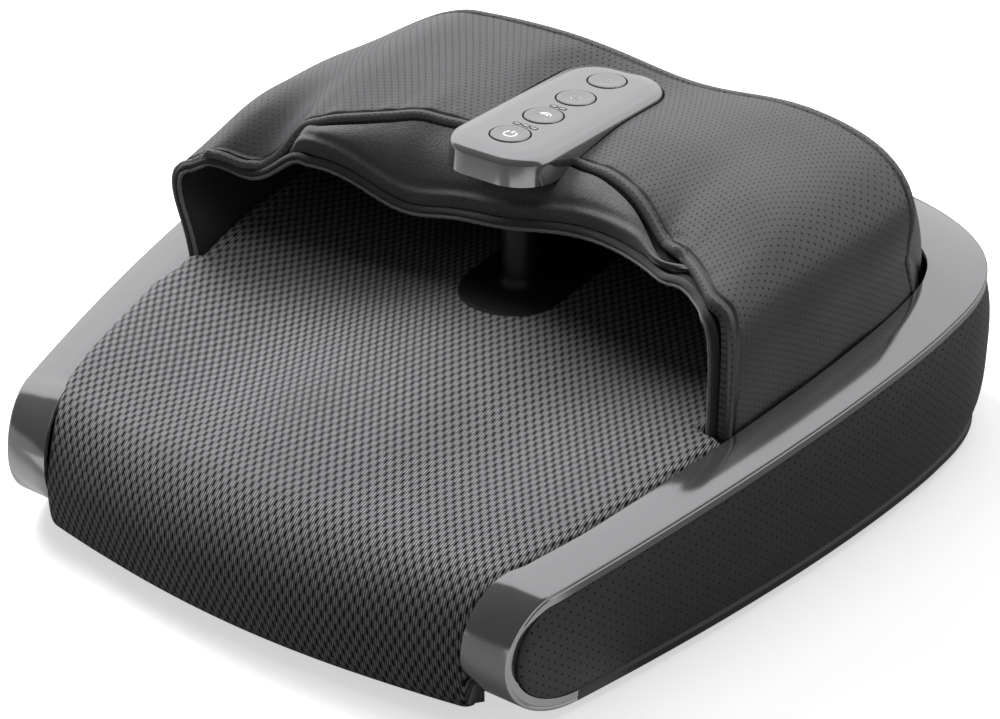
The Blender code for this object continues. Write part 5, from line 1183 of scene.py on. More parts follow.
def table_value(table, x):
    """Value at x of a table of (x, value) pairs, on a smooth curve through them."""
    if x <= table[0][0] or x >= table[-1][0]:
        return 0.0
    last = len(table) - 1
    k = next(i for i in range(last) if x <= table[i + 1][0])

    def slope(i):
        (x0, low), (x1, high) = table[max(i - 1, 0)], table[min(i + 1, last)]
        return 0.0 if i in (0, last) else (high - low) / (x1 - x0)

    (x0, low), (x1, high) = table[k], table[k + 1]
    span = x1 - x0
    t = (x - x0) / span
    start = (2 * t ** 3 - 3 * t ** 2 + 1) * low + (t ** 3 - 2 * t ** 2 + t) * span * slope(k)
    return start + (3 * t ** 2 - 2 * t ** 3) * high + (t ** 3 - t ** 2) * span * slope(k + 1)


def beside_panel(point, under=0.0):
    """Lower a point of the hood's top to where the panel stands clear of it."""
    gap = max(panel_gap(point.x, point.y), 0.0)
    level = panel_place(0.0, point.y - BUTTON_FIRST, 0.0).z
    over = point.z - (level - PANEL_STAND - under + PANEL_SLOPE * gap)
    lower = 0.5 * (over + math.sqrt(over ** 2 + PANEL_SOFT ** 2))
    point.z -= min(lower, PANEL_LOWER) * (1 - ease(gap, *PANEL_FAR))
    return point


def hood_place(share, v, lip=False, inset=0.0, drop=0.0):
    """Hood point of the scene, with the fuller left shoulder of the real one."""
    point = hood_point(share, v, lip, inset, drop)
    width = SHOULDER_BELOW if point.z < SHOULDER_Z else SHOULDER_ABOVE
    full = ease(-point.x, *SHOULDER_SIDES) * bell(point.z, SHOULDER_Z, width)
    full *= 1 - ease(v, 0.0, SHOULDER_FADE_V)
    point.x -= SHOULDER_FULL * full
    if not lip:
        shift = table_value(LEATHER_SHIFT, share[0] * HOOD_FRONT_HALF)
        point.z += shift * (1 - ease(v, 0.0, SHIFT_FADE_V))
    return point


def hood_relief(gap, hem, run, x, depth, on_back):
    """Offset of the hood's leather along its normal, with waves per metre."""
    offset = roll_height(gap)
    past = max(gap - ROLL_WIDTH, 0.0)
    fold = math.sin(run * 2 * math.pi / PUCKER_PITCH + 1.7 * math.sin(run * 61))
    fold += 0.6 * math.sin(run * 233)
    offset += PUCKER_HIGH * fold * math.exp(-past / PUCKER_FADE) * min(past / PUCKER_START, 1.0)
    soft = math.sin(x * 47 + depth * 33) * math.sin(depth * 71 - x * 19)
    offset += HOOD_WAVE_HIGH * soft * min(past / HOOD_WAVE_START, 1.0)
    if not on_back:
        offset -= HEM_GROOVE * bell(hem, HEM_WIDTH, GROOVE_WIDTH)
        offset += HEM_HIGH * math.sin(math.pi * min(hem / HEM_WIDTH, 1.0)) if hem < HEM_WIDTH else 0.0
        offset -= PANEL_SINK * math.exp(-max(panel_gap(x, depth), 0.0) / PANEL_SINK_FADE)
    return offset


def facing_out(point, normal):
    """A normal of the hood turned to its outer side."""
    return normal if normal.dot(Vector((point.x * 2, *HOOD_OUTWARD))) > 0 else -normal


def make_hood():
    """Leatherette cover of the hood with its rolled front edge and rear hem."""
    shares = arch_shares(HOOD_COLUMNS)
    values = hood_row_values()
    grid = [[hood_place(share, v) for share in shares] for v in values]
    normals = grid_normals(grid)
    lines = [run_lengths([row[i] for row in grid]) for i in range(len(shares))]
    seam_row = values.index(1.0)
    widths = run_lengths(grid[HOOD_ROLL_ROWS])
    middle = widths[len(shares) // 2]
    rows, uvs = [], []
    for j, row in enumerate(grid):
        ring, on_back = [], values[j] > 1.0
        for i, point in enumerate(row):
            gap = lines[i][j]
            hem = abs(lines[i][seam_row] - gap)
            offset = hood_relief(gap, hem, widths[i], point.x, point.y, on_back)
            shown = point + facing_out(point, normals[j][i]) * offset
            ring.append(place(*(shown if on_back else beside_panel(shown))))
        rows.append(ring)
        uvs.append([(width - middle, line[j]) for width, line in zip(widths, lines)])
    sheet_piece("hood_leather", rows, uvs, HOOD_THICK, [panel_cutter("panel_cut", -PANEL_HOLE_GAP)], 55,
                "leatherette", "hood_cover")
    make_piping(grid, normals, lines)


def make_piping(grid, normals, lines):
    """Rolled leather piping along the hood's front edge."""
    spots = []
    for i, line in enumerate(lines):
        j = next(k for k in range(len(line)) if line[k + 1] > PIPING_RADIUS)
        share = (PIPING_RADIUS - line[j]) / (line[j + 1] - line[j])
        point = grid[j][i].lerp(grid[j + 1][i], share)
        normal = normals[j][i].lerp(normals[j + 1][i], share).normalized()
        spots.append(point - facing_out(point, normal) * PIPING_SINK)
    dress(tube("hood_piping", spots, PIPING_RADIUS, PIPING_SIDES), "leatherette", "hood_cover")


def panel_cutter(name, inset, low=-PANEL_HEIGHT - CUTTER_REACH):
    """Upright cutter of the panel's outline, tilted with the panel."""
    outline = rounded_outline(PANEL_HALF - inset, PANEL_FRONT + inset, PANEL_REAR - inset,
                              PANEL_CORNER - inset, CUTTER_STEPS)
    rings = [[panel_place(x, d - BUTTON_FIRST, z) for x, d in outline] for z in (low, CUTTER_REACH)]
    cutter = skin(name, rings, around=True)
    close_ends(cutter)
    return cutter


def panel_place(x, y, z):
    """Part position of a point given in the tilted panel's own axes."""
    tilted = Matrix.Rotation(-PANEL_TILT, 3, 'X') @ Vector((x, y, z))
    return tilted + place(0.0, BUTTON_FIRST, PANEL_TOP)


def make_lining():
    """Dark lining of the two foot chambers, with folds in its left side."""
    shares = arch_shares(LINING_COLUMNS)
    values = [i / LINING_ROWS for i in range(LINING_ROWS + 1)]
    values += [1 + (i + 1) / LINING_BACK for i in range(LINING_BACK)]
    rows, uvs = [], []
    for v in values:
        ring = []
        for share in shares:
            point = hood_place(share, v, lip=True, inset=LINING_INSET, drop=LINING_DROP)
            point = opening_path(share).lerp(point, ease(v, 0.0, LINING_JOIN_V))
            ring.append(place(*(point if v > 1.0 else beside_panel(point, HOOD_THICK + LINING_CLEAR))))
        rows.append(ring)
        uvs.append([(LINING_WIDE * i / LINING_COLUMNS, LINING_LONG * v) for i in range(len(shares))])
    for row, line, v in zip(rows, grid_normals(rows), values):
        for i, (point, normal) in enumerate(zip(row, line)):
            inward = -normal if normal.z > 0 else normal
            left = bell(point.x, *LINING_FOLDS_AT) * math.exp(-v / LINING_FOLDS_FADE)
            wave = math.sin(v * LINING_WAVES[0] + point.x * LINING_WAVES[1]) * left
            row[i] = point + inward * (LINING_WAVE_HIGH * wave + LINING_FULL * left)
    sheet_piece("chamber_lining", rows, uvs, LINING_THICK, [panel_cutter("lining_cut", -FIT_GAP)], 60,
                "lining_cloth", "hood_lining")


def make_flap():
    """Felt flap under the panel, with the soft ridge above the binding."""
    rows, uvs = [], []
    for j in range(FLAP_ROWS + 1):
        t = j / FLAP_ROWS
        ring, marks = [], []
        for i in range(FLAP_COLUMNS + 1):
            x = mix(-FLAP_SHOWN_LEFT, FLAP_SHOWN_RIGHT, i / FLAP_COLUMNS)
            top, low = leather_edge(x), lip_edge(x)
            run = (low - top).normalized()
            start = top + run * FLAP_SET
            end = low - run * FLAP_SHOWN_GAP
            long = (end - start).length
            point = start.lerp(end, t)
            above = (1 - t) * long
            ridge = RIDGE_HIGH * bell(above, *RIDGE_AT) - RIDGE_GROOVE * bell(above, *RIDGE_GROOVE_AT)
            swell = FLAP_BULGE * math.sin(math.pi * t) + ridge * min(long / RIDGE_RUN, 1.0)
            near_end = 1 - ease(min(x + FLAP_SHOWN_LEFT, FLAP_SHOWN_RIGHT - x), 0.0, FLAP_END_RUN)
            point.y -= swell * (1 - near_end) - FLAP_END_BACK * near_end
            point.z += swell * (1 - near_end)
            ring.append(place(*point))
            marks.append((x, t * long))
        rows.append(ring)
        uvs.append(marks)
    clear = FIT_GAP * 2
    outline = oval(POST_HALF + clear, POST_FRONT - clear, POST_REAR + clear, HOLE_STEPS)
    rings = [[place(x, d, z) for x, d in outline] for z in HOLE_HEIGHTS]
    post_hole = skin("post_hole", rings, around=True)
    close_ends(post_hole)
    cutters = [panel_cutter("flap_cut", -FIT_GAP, -PANEL_BASE_LOW - FIT_GAP), post_hole]
    sheet_piece("felt_flap", rows, uvs, FLAP_THICK, cutters, 60, "felt", "front_flap")


def tube(name, spots, radius, sides, bumps=0.0):
    """Round tube along a chain of points, with its seam behind and waves per metre."""
    rings, uvs = [], []
    runs = run_lengths(spots)
    for i, spot in enumerate(spots):
        ahead = heading(spots, i)
        side = ahead.cross(Vector((0, 1, 0))).normalized()
        up = side.cross(ahead).normalized()
        ring, marks = [], []
        for k in range(sides):
            angle = 2 * math.pi * k / sides
            size = radius * (1 + bumps * math.sin(runs[i] * BUMP_WAVES + angle * 2))
            ring.append(place(*(spot + (side * math.cos(angle) + up * math.sin(angle)) * size)))
            marks.append((runs[i], radius * angle))
        marks.append((runs[i], radius * 2 * math.pi))
        rings.append(ring)
        uvs.append(marks)
    made = skin(name, rings, uvs, around=True)
    close_ends(made)
    return made


def opening_path(share):
    """Middle of the binding: close inside the leather at the walls, lower under the felt."""
    low = lip_path(share)
    low.y += LIP_BACK
    low.z -= LIP_DOWN
    edge = hood_place(share, 0.0)
    close, under = LIP_AT_LEFT if share[0] < 0 else LIP_AT_RIGHT
    near = hood_place(share, 0.0, inset=close)
    near.z = edge.z - under * share[1] ** 3
    near.y -= LIP_AHEAD
    return near.lerp(low, ease(edge.x, *FELT_LEFT) * (1 - ease(edge.x, *FELT_RIGHT)))


def make_binding():
    """Rolled cloth round the opening, and the pale knit edge inside it."""
    spots = [opening_path(share) for share in arch_shares(BINDING_FINE)]
    roll = tube("edge_roll", spots, ROLL_RADIUS, ROLL_SIDES, ROLL_BUMPS)
    dress(roll, "binding_cloth", "front_binding")
    inner = []
    for i, spot in enumerate(spots):
        ahead = heading(spots, i)
        inside = Vector((ahead.z, 0.0, -ahead.x))
        inside = inside if inside.z < 0 or inside.x * spot.x < 0 else -inside
        inner.append(spot + inside * (ROLL_RADIUS * KNIT_INSIDE)
                     + Vector((0, -ROLL_RADIUS * KNIT_AHEAD, 0)))
    edge = tube("knit_edge", inner[1:-1], KNIT_RADIUS, KNIT_SIDES, KNIT_BUMPS)
    dress(edge, "binding_cloth", "front_binding", finish="knit_edge")


# Rigid pieces shaped by Blender's own tools

def fresh(add, name, **sizes):
    """New piece from one of Blender's primitives, with its size and place applied."""
    bpy.ops.object.select_all(action='DESELECT')
    add(**sizes)
    obj = bpy.context.object
    obj.name = obj.data.name = name
    bpy.ops.object.transform_apply(location=True, rotation=True, scale=True)
    return obj


def pick(obj, kind, test):
    """Select in edit mode the edges or faces whose middle and way pass a test."""
    if obj.mode != 'EDIT':
        select_only(obj)
        bpy.ops.object.mode_set(mode='EDIT')
    bpy.ops.mesh.select_mode(type='FACE' if kind == "faces" else 'EDGE')
    bpy.ops.mesh.select_all(action='DESELECT')
    bm = bmesh.from_edit_mesh(obj.data)
    for item in getattr(bm, kind):
        if kind == "faces":
            middle, way = item.calc_center_median(), item.normal
        else:
            a, b = item.verts[0].co, item.verts[1].co
            middle, way = (a + b) / 2, (b - a).normalized()
        if test(middle, way):
            item.select_set(True)
    bmesh.update_edit_mesh(obj.data)


def leave(obj, degrees=35):
    """Leave edit mode with smooth shading."""
    bpy.ops.object.mode_set(mode='OBJECT')
    obj.data.shade_smooth()
    sharpen(obj, degrees)


def inset_steps(steps):
    """Inset the selected face and move it along Z, step by step."""
    for inset, rise in steps:
        bpy.ops.mesh.inset(thickness=inset, use_even_offset=True)
        bpy.ops.transform.translate(value=(0.0, 0.0, rise))


def pull(rise):
    """Extrude the selected face along Z."""
    bpy.ops.mesh.extrude_region_move(TRANSFORM_OT_translate={"value": (0.0, 0.0, rise)})


def on_panel(obj, y=0.0):
    """Put a piece made round the first button's axis on the tilted panel."""
    spot = place(0.0, BUTTON_FIRST, PANEL_TOP)
    turn = Matrix.Rotation(-PANEL_TILT, 4, 'X')
    obj.data.transform(Matrix.Translation(spot) @ turn @ Matrix.Translation((0.0, y, 0.0)))
    return obj


def make_panel():
    """Metal control panel with rounded rim, crown, hollow and button holes."""
    middle = (PANEL_FRONT + PANEL_REAR) / 2 - BUTTON_FIRST
    high = PANEL_SHOWN_HEIGHT - PANEL_CROWN
    panel = fresh(bpy.ops.mesh.primitive_cube_add, "panel_shell", size=1.0,
                  location=(0.0, middle, -PANEL_CROWN - high / 2),
                  scale=(2 * PANEL_HALF, PANEL_LENGTH, high))
    pick(panel, "edges", lambda mid, way: abs(way.z) > UPRIGHT)
    bpy.ops.mesh.bevel(offset=PANEL_CORNER, segments=PANEL_CORNER_STEPS)
    pick(panel, "faces", lambda mid, way: way.z < -UPRIGHT)
    grow = (1 + PANEL_FLARE / PANEL_HALF, 1 + 2 * PANEL_FLARE / PANEL_LENGTH, 1.0)
    bpy.ops.transform.resize(value=grow, center_override=(0.0, middle, 0.0))
    pick(panel, "faces", lambda mid, way: way.z > UPRIGHT)
    bpy.ops.mesh.bevel(offset=PANEL_EDGE, segments=PANEL_EDGE_STEPS)
    pick(panel, "faces", lambda mid, way: way.z > LEVEL)
    inset_steps(PANEL_CROWN_STEPS)
    pick(panel, "faces", lambda mid, way: way.z < -LEVEL)
    bpy.ops.mesh.inset(thickness=PANEL_WALL + PANEL_FLARE)
    pull(PANEL_SHOWN_HEIGHT - PANEL_CROWN - PANEL_WALL)
    leave(panel)
    cut(panel, *[fresh(bpy.ops.mesh.primitive_cylinder_add, "button_hole", vertices=ROUND_STEPS,
                       radius=BUTTON_RADIUS + BUTTON_GROOVE, depth=HOLE_DEPTH, location=(0.0, y, 0.0))
                 for y in BUTTON_SPOTS])
    sharpen(panel, 32)
    dress(on_panel(panel), "panel_metal", "panel_cover")


def make_button(node, body, y):
    """Round metal button with its flange, rounded rim and shallow dish."""
    top = PANEL_ROOF - BUTTON_GAP
    rim = BUTTON_RADIUS + BUTTON_FLANGE
    switch_top = -PANEL_BASE_TOP + PART_GAP + BOARD_THICK + SWITCH_HEIGHT
    stem_low = switch_top + BUTTON_TRAVEL + BUTTON_STOP_GAP
    button = fresh(bpy.ops.mesh.primitive_cylinder_add, node + "_cap", vertices=ROUND_STEPS, radius=rim,
                   depth=BUTTON_FLANGE_THICK, location=(0.0, 0.0, top - BUTTON_FLANGE_THICK / 2))
    pick(button, "faces", lambda mid, way: way.z > UPRIGHT)
    bpy.ops.mesh.inset(thickness=BUTTON_FLANGE)
    pull(-top)
    inset_steps(BUTTON_RIM_STEPS)
    pick(button, "faces", lambda mid, way: way.z < -UPRIGHT and mid.z < top - BUTTON_FLANGE_THICK / 2)
    bpy.ops.mesh.inset(thickness=rim - BUTTON_STEM_RADIUS)
    pull(stem_low - (top - BUTTON_FLANGE_THICK))
    leave(button, 30)
    dress(on_panel(button, y), "button_metal", node, body=body)


def arc_plate(name, outer, width, start, end, y, high):
    """Thin flat arc on a button, from one angle to another."""
    ring = fresh(bpy.ops.mesh.primitive_circle_add, name, vertices=ARC_STEPS, radius=outer,
                 fill_type='NGON')
    pick(ring, "faces", lambda mid, way: True)
    bpy.ops.mesh.inset(thickness=width)
    bpy.ops.mesh.delete(type='FACE')
    pick(ring, "faces",
         lambda mid, way: not start <= math.degrees(math.atan2(mid.y, mid.x)) % 360 <= end)
    bpy.ops.mesh.delete(type='FACE')
    pick(ring, "faces", lambda mid, way: mid.length < 2 * outer - width)
    pull(MARK_HIGH)
    bpy.ops.mesh.select_all(action='SELECT')
    bpy.ops.mesh.normals_make_consistent(inside=False)
    leave(ring)
    ring.data.transform(Matrix.Translation((0.0, 0.0, high)))
    return on_panel(ring, y)


def bar_plate(name, size, spot, y, corner):
    """Thin bar with rounded corners on the panel or a button."""
    bar = fresh(bpy.ops.mesh.primitive_cube_add, name, size=1.0, location=spot, scale=size)
    pick(bar, "edges", lambda mid, way: abs(way.z) > UPRIGHT)
    bpy.ops.mesh.bevel(offset=corner, segments=BAR_CORNER_STEPS)
    leave(bar)
    return on_panel(bar, y)


def make_button_marks():
    """Plain marks: a ring with a bar, two arcs, a dotted ring and three bars."""
    high = BUTTON_PROUD - BUTTON_DISH
    for name, at, *shape in BUTTON_MARKS:
        if len(shape) == 4:
            mark = arc_plate(name, *shape, BUTTON_SPOTS[at], high)
        else:
            wide, long, x, y, corner = shape
            mark = bar_plate(name, (wide, long, MARK_HIGH), (x, y, high + MARK_HIGH / 2),
                             BUTTON_SPOTS[at], corner)
        dress(mark, "white_plastic", body=BUTTON_BODIES[at], finish=MARK_FINISHES[at])


def make_level_marks():
    """Small rounded windows of the level lights behind the first two buttons."""
    for row, spots in enumerate(LEVEL_SPOTS):
        for i, (x, y) in enumerate(spots):
            for kind, wide, long, lift in LEVEL_PLATES:
                mark = bar_plate(f"level_{kind}_{row + 1}_{i + 1}", (wide, long, LEVEL_THICK),
                                 (x, y, lift), BUTTON_SPOTS[row], long * LEVEL_ROUND)
                dress(mark, "white_plastic", finish="mark_" + kind)


def post_ring(half, front, rear, rise=0.0, level=None):
    """Oval ring of the post, raised over the flange's slope or at one level."""
    outline = oval(half, front, rear, POST_FINE_STEPS)
    return [place(x, d, flange_top(d) + rise if level is None else level) for x, d in outline]


def make_post():
    """Glossy centre post, its fillet, rounded flange and stem."""
    rings = [post_ring(POST_HALF, POST_FRONT, POST_REAR, level=panel_low_at_post() - PART_GAP)]
    for i in range(POST_ARC_STEPS + 1):
        angle = math.pi / 2 * i / POST_ARC_STEPS
        grow = POST_FILLET * (1 - math.cos(angle))
        rise = POST_FILLET * (1 - math.sin(angle))
        rings.append(post_ring(POST_HALF + grow, POST_FRONT - grow, POST_REAR + grow, rise))
    for i in range(POST_ARC_STEPS + 1):
        angle = math.pi * i / POST_ARC_STEPS
        set_in = FLANGE_RIM * (1 - math.sin(angle))
        rise = -FLANGE_RIM * (1 - math.cos(angle))
        rings.append(post_ring(FLANGE_HALF + FLANGE_GROW - set_in, FLANGE_FRONT - FLANGE_GROW + set_in,
                               FLANGE_REAR - set_in, rise))
    stem = (FLANGE_HALF - STEM_INSET, FLANGE_FRONT + STEM_INSET, FLANGE_REAR - STEM_INSET)
    rings.append(post_ring(*stem, -2 * FLANGE_RIM))
    rings.append(post_ring(*stem, level=DECK_TOP + PART_GAP))
    closed_piece("centre_post", rings, None, 40, "post_plastic", "center_post")


# Camera, lamps and floor

def make_camera():
    """Camera at the photograph's viewing angle."""
    data = bpy.data.cameras.new("photo_camera")
    data.sensor_width = CAMERA_SENSOR
    data.lens = CAMERA_LENS
    camera = add_object("photo_camera", data)
    back = Vector(CAMERA_BACK).normalized()
    side = Vector((0.0, 0.0, 1.0)).cross(back).normalized()
    turn = Matrix((side, back.cross(side), back)).transposed().to_4x4()
    camera.matrix_world = Matrix.Translation(CAMERA_PLACE) @ turn
    bpy.context.scene.camera = camera


def make_lamp(name, spot, aim, size, power):
    """Square soft lamp at a place, turned towards a point, not shown by metal."""
    data = bpy.data.lights.new(name, 'AREA')
    data.shape = 'SQUARE'
    data.size = size
    data.energy = power
    lamp = add_object(name, data)
    lamp.location = spot
    lamp.rotation_euler = (Vector(aim) - Vector(spot)).to_track_quat('-Z', 'Y').to_euler()
    lamp.visible_camera = False
    lamp.visible_glossy = False


def make_world():
    """White behind the object, soft fill, and a dark front for the metal to show."""
    world = bpy.data.worlds.new("studio")
    bpy.context.scene.world = world
    tree = Tree(world)
    ray = tree.node("ShaderNodeLightPath")
    way = tree.split(tree.node("ShaderNodeNewGeometry").outputs["Position"])
    behind = tree.smooth(way[1], *WORLD_BACK, WORLD_DARK, WORLD_LIGHT)
    level = tree.blend(ray.outputs["Is Glossy Ray"], WORLD_FILL, behind)
    for kind in ("Is Camera Ray", "Is Transmission Ray"):
        level = tree.blend(ray.outputs[kind], level, 1.0)
    back = tree.tree.nodes["Background"]
    back.inputs["Color"].default_value = WHITE
    tree.put(level, back.inputs["Strength"])


def make_floor():
    """White floor that keeps the object's shadow, with a painted reflection: a glow only glossy rays
    see, dark except beside the left side and in two bright cards.
    """
    bpy.ops.object.select_all(action='DESELECT')
    bpy.ops.mesh.primitive_plane_add(size=FLOOR_SIZE, location=(0.0, 0.0, 0.0))
    floor = bpy.context.object
    floor.name = floor.data.name = "studio_floor"
    tree = new_finish("studio_floor", 0.9, 0.0, 0.0)
    ray = tree.node("ShaderNodeLightPath")
    spot = tree.split(object_place(tree))
    beside = tree.math('MULTIPLY', tree.smooth(spot[1], *FLOOR_FRONT, 0.0, 1.0),
                       tree.smooth(spot[0], *FLOOR_SIDE, 1.0, 0.0))
    # Painted reflection: the floor's glow for glossy rays, lighter beside the left side and in the
    # cards
    near = tree.blend(beside, FLOOR_REFLECTION_DARK, FLOOR_REFLECTION_LIGHT)
    for x0, x1, y0, y1 in REFLECTION_CARDS:
        card = 1.0
        for value, low, high in ((spot[0], x0, x1), (spot[1], y0, y1)):
            rise = tree.smooth(value, low, low + CARD_EDGE, 0.0, 1.0)
            fall = tree.smooth(value, high - CARD_EDGE, high, 1.0, 0.0)
            card = tree.math('MULTIPLY', card, tree.math('MULTIPLY', rise, fall))
        near = tree.blend(card, near, CARD_REFLECTION_GLOW)
    shown = tree.math('MAXIMUM', ray.outputs["Is Camera Ray"], ray.outputs["Is Transmission Ray"])
    grey = tree.blend(shown, FLOOR_BOUNCE, FLOOR_WHITE)
    inputs = tree.shader.inputs
    tree.put(tree.paint(grey, grey, grey), inputs["Base Color"])
    inputs["Emission Color"].default_value = WHITE
    # Camera rays see an even white glow, glossy rays see the painted reflection
    tree.put(tree.blend(ray.outputs["Is Glossy Ray"], tree.math('MULTIPLY', shown, FLOOR_GLOW), near),
             inputs["Emission Strength"])
    floor.data.materials.append(tree.owner)


# Finishes

class Tree:
    """Short names for the nodes of one material or of the world."""

    def __init__(self, owner):
        owner.use_nodes = True
        self.owner = owner
        self.tree = owner.node_tree
        self.shader = self.tree.nodes.get("Principled BSDF")

    def node(self, kind, **values):
        """Add a node and set or link its inputs by name."""
        made = self.tree.nodes.new(kind)
        for name, value in values.items():
            self.put(value, made.inputs[name])
        return made

    def put(self, value, socket):
        """Set a socket to a number, or link another socket to it."""
        if isinstance(value, bpy.types.NodeSocket):
            self.tree.links.new(value, socket)
        else:
            socket.default_value = value

    def math(self, operation, *values):
        """Sum, product or other operation on one to three values."""
        made = self.tree.nodes.new("ShaderNodeMath")
        made.operation = operation
        for value, socket in zip(values, made.inputs):
            self.put(value, socket)
        return made.outputs[0]

    def total(self, *terms):
        """Sum of values, where a pair stands for a value times a weight."""
        parts = [self.math('MULTIPLY', *term) if isinstance(term, tuple) else term for term in terms]
        made = parts[0]
        for part in parts[1:]:
            made = self.math('ADD', made, part)
        return made

    def vary(self, value, middle, swing):
        """Number that goes from half a swing under a middle to half a swing over it."""
        return self.math('MULTIPLY_ADD', value, swing, middle - swing / 2)

    def split(self, vector):
        """X, Y and Z of a vector."""
        return self.node("ShaderNodeSeparateXYZ", Vector=vector).outputs

    def smooth(self, value, low, high, start, end):
        """Smooth step from start to end while the value goes from low to high."""
        made = self.tree.nodes.new("ShaderNodeMapRange")
        made.interpolation_type = 'SMOOTHSTEP'
        for socket, part in zip(made.inputs, (value, low, high, start, end)):
            self.put(part, socket)
        return made.outputs[0]

    def fade(self, value, near, far):
        """1 while the value's size is under near, falling to 0 at far."""
        return self.smooth(self.math('ABSOLUTE', value), near, far, 1.0, 0.0)

    def blend(self, factor, a, b):
        """Number between a and b."""
        made = self.tree.nodes.new("ShaderNodeMix")
        made.data_type = 'FLOAT'
        for at, value in ((0, factor), (2, a), (3, b)):
            self.put(value, made.inputs[at])
        return made.outputs[0]

    def paint(self, red, green, blue):
        """Colour from three numbers."""
        return self.node("ShaderNodeCombineColor", Red=red, Green=green, Blue=blue).outputs[0]

    def tint(self, shade, color):
        """Colour scaled by a shade."""
        made = self.tree.nodes.new("ShaderNodeMix")
        made.data_type = 'RGBA'
        made.blend_type = 'MULTIPLY'
        made.inputs[0].default_value = 1.0
        made.inputs[6].default_value = (*color, 1.0)
        self.put(self.paint(shade, shade, shade), made.inputs[7])
        return made.outputs[2]

    def stretch(self, vector, scale):
        """Vector scaled along its three axes."""
        return self.node("ShaderNodeMapping", Vector=vector, Scale=scale).outputs[0]

    def noise(self, vector, scale, detail=2.0):
        """Noise from 0 to 1, with features of one part in scale of a metre."""
        made = self.node("ShaderNodeTexNoise", Vector=vector, Scale=scale, Detail=detail)
        return made.outputs["Fac"] if "Fac" in made.outputs else made.outputs[0]

    def cells(self, vector, scale):
        """Distance to the nearest cell centre, for leather grain."""
        return self.node("ShaderNodeTexVoronoi", Vector=vector, Scale=scale).outputs["Distance"]

    def bump(self, height, depth, normal=None):
        """Normal bent by a height, in metres of depth."""
        made = self.node("ShaderNodeBump", Height=height, Distance=depth, Strength=1.0)
        if normal:
            self.put(normal, made.inputs["Normal"])
        return made.outputs[0]

    def finish(self, shade, color, normal, rough=None):
        """Link the shader's colour, normal and roughness, and hand back the material."""
        inputs = self.shader.inputs
        self.put(self.tint(shade, color), inputs["Base Color"])
        self.put(normal, inputs["Normal"])
        if rough:
            self.put(rough, inputs["Roughness"])
        return self.owner


def new_finish(name, roughness, metallic=0.0, level=0.5):
    """Tree of a new principled material, with its constants set."""
    tree = Tree(bpy.data.materials.new(name))
    for socket, value in (("Roughness", roughness), ("Metallic", metallic),
                          ("Specular IOR Level", level)):
        tree.shader.inputs[socket].default_value = value
    return tree


def object_place(tree):
    """Object coordinates of the surface, in metres."""
    return tree.node("ShaderNodeTexCoord").outputs["Object"]


def cloth_place(tree):
    """The piece's own UV map, in metres over the surface."""
    made = tree.tree.nodes.new("ShaderNodeUVMap")
    made.uv_map = "UVMap"
    return made.outputs[0]


def metal(name, color, roughness, brushed=None, share=1.0, crowned=False):
    """Satin metal with fine grain, brushed one way, or crowned over the band's width."""
    tree = new_finish(name, roughness, share)
    spot = object_place(tree)
    cloud = tree.noise(spot, METAL_CLOUDS, 3.0)
    fine = tree.noise(tree.stretch(spot, brushed) if brushed else spot, METAL_GRAIN)
    normal = None
    if crowned:
        across = tree.split(cloth_place(tree))[1]
        slope = tree.math('MULTIPLY_ADD', across, -CROWN_EASE, CROWN_TILT)
        normal = tree.bump(tree.math('MULTIPLY', across, slope), 1.0)
    shade = tree.total((cloud, 0.03), (fine, 0.03), 0.97)
    relief = tree.bump(fine, METAL_RELIEF, normal)
    return tree.finish(shade, color, relief, tree.vary(fine, roughness, 0.05))


def moulded(name, color, roughness, grain=0.00003, level=0.5):
    """Moulded plastic or rubber with a fine texture."""
    tree = new_finish(name, roughness, 0.0, level)
    spot = object_place(tree)
    fine = tree.noise(spot, PLASTIC_GRAIN, 3.0)
    cloud = tree.noise(spot, PLASTIC_CLOUDS)
    shade = tree.total((cloud, 0.16), (fine, 0.12), 0.86)
    return tree.finish(shade, color, tree.bump(fine, grain), tree.vary(fine, roughness, 0.14))


def lattice(tree, uv, first, second):
    """Signed steps to the nearest point of a lattice with two side vectors."""
    u, v, _ = tree.split(uv)
    area = first[0] * second[1] - first[1] * second[0]
    steps = []
    for a, b in ((second[1] / area, -second[0] / area), (-first[1] / area, first[0] / area)):
        steps.append(tree.math('SUBTRACT', tree.math('FRACT', tree.total((u, a), (v, b), 0.5)), 0.5))
    return steps


def hole_mask(tree, uv, first, second, radius):
    """1 inside the round holes of a lattice and 0 outside."""
    s, t = lattice(tree, uv, first, second)
    du, dv = (tree.total((s, a), (t, b)) for a, b in zip(first, second))
    far = tree.math('SQRT', tree.total((du, du), (dv, dv)))
    return tree.smooth(far, radius * HOLE_EDGE[0], radius * HOLE_EDGE[1], 1.0, 0.0)


def perforated(name, color, roughness, first, second, radius, hole_dark, level=0.5):
    """Perforated leatherette with a fine pebble grain."""
    tree = new_finish(name, roughness, 0.0, level)
    spot = object_place(tree)
    holes = hole_mask(tree, cloth_place(tree), first, second, radius)
    grain = tree.cells(spot, LEATHER_PEBBLES)
    cloud = tree.noise(spot, LEATHER_CLOUDS, 3.0)
    fine = tree.noise(spot, LEATHER_GRAIN, 3.0)
    shade = tree.math('MULTIPLY', tree.total((cloud, 0.35), (fine, 0.30), 0.66),
                      tree.total(1.0, (holes, -hole_dark)))
    height = tree.total((grain, 0.22), (holes, -1.0), (fine, 0.12))
    return tree.finish(shade, color, tree.bump(height, LEATHER_RELIEF),
                       tree.total((cloud, 0.12), (holes, 0.4), roughness - 0.06))


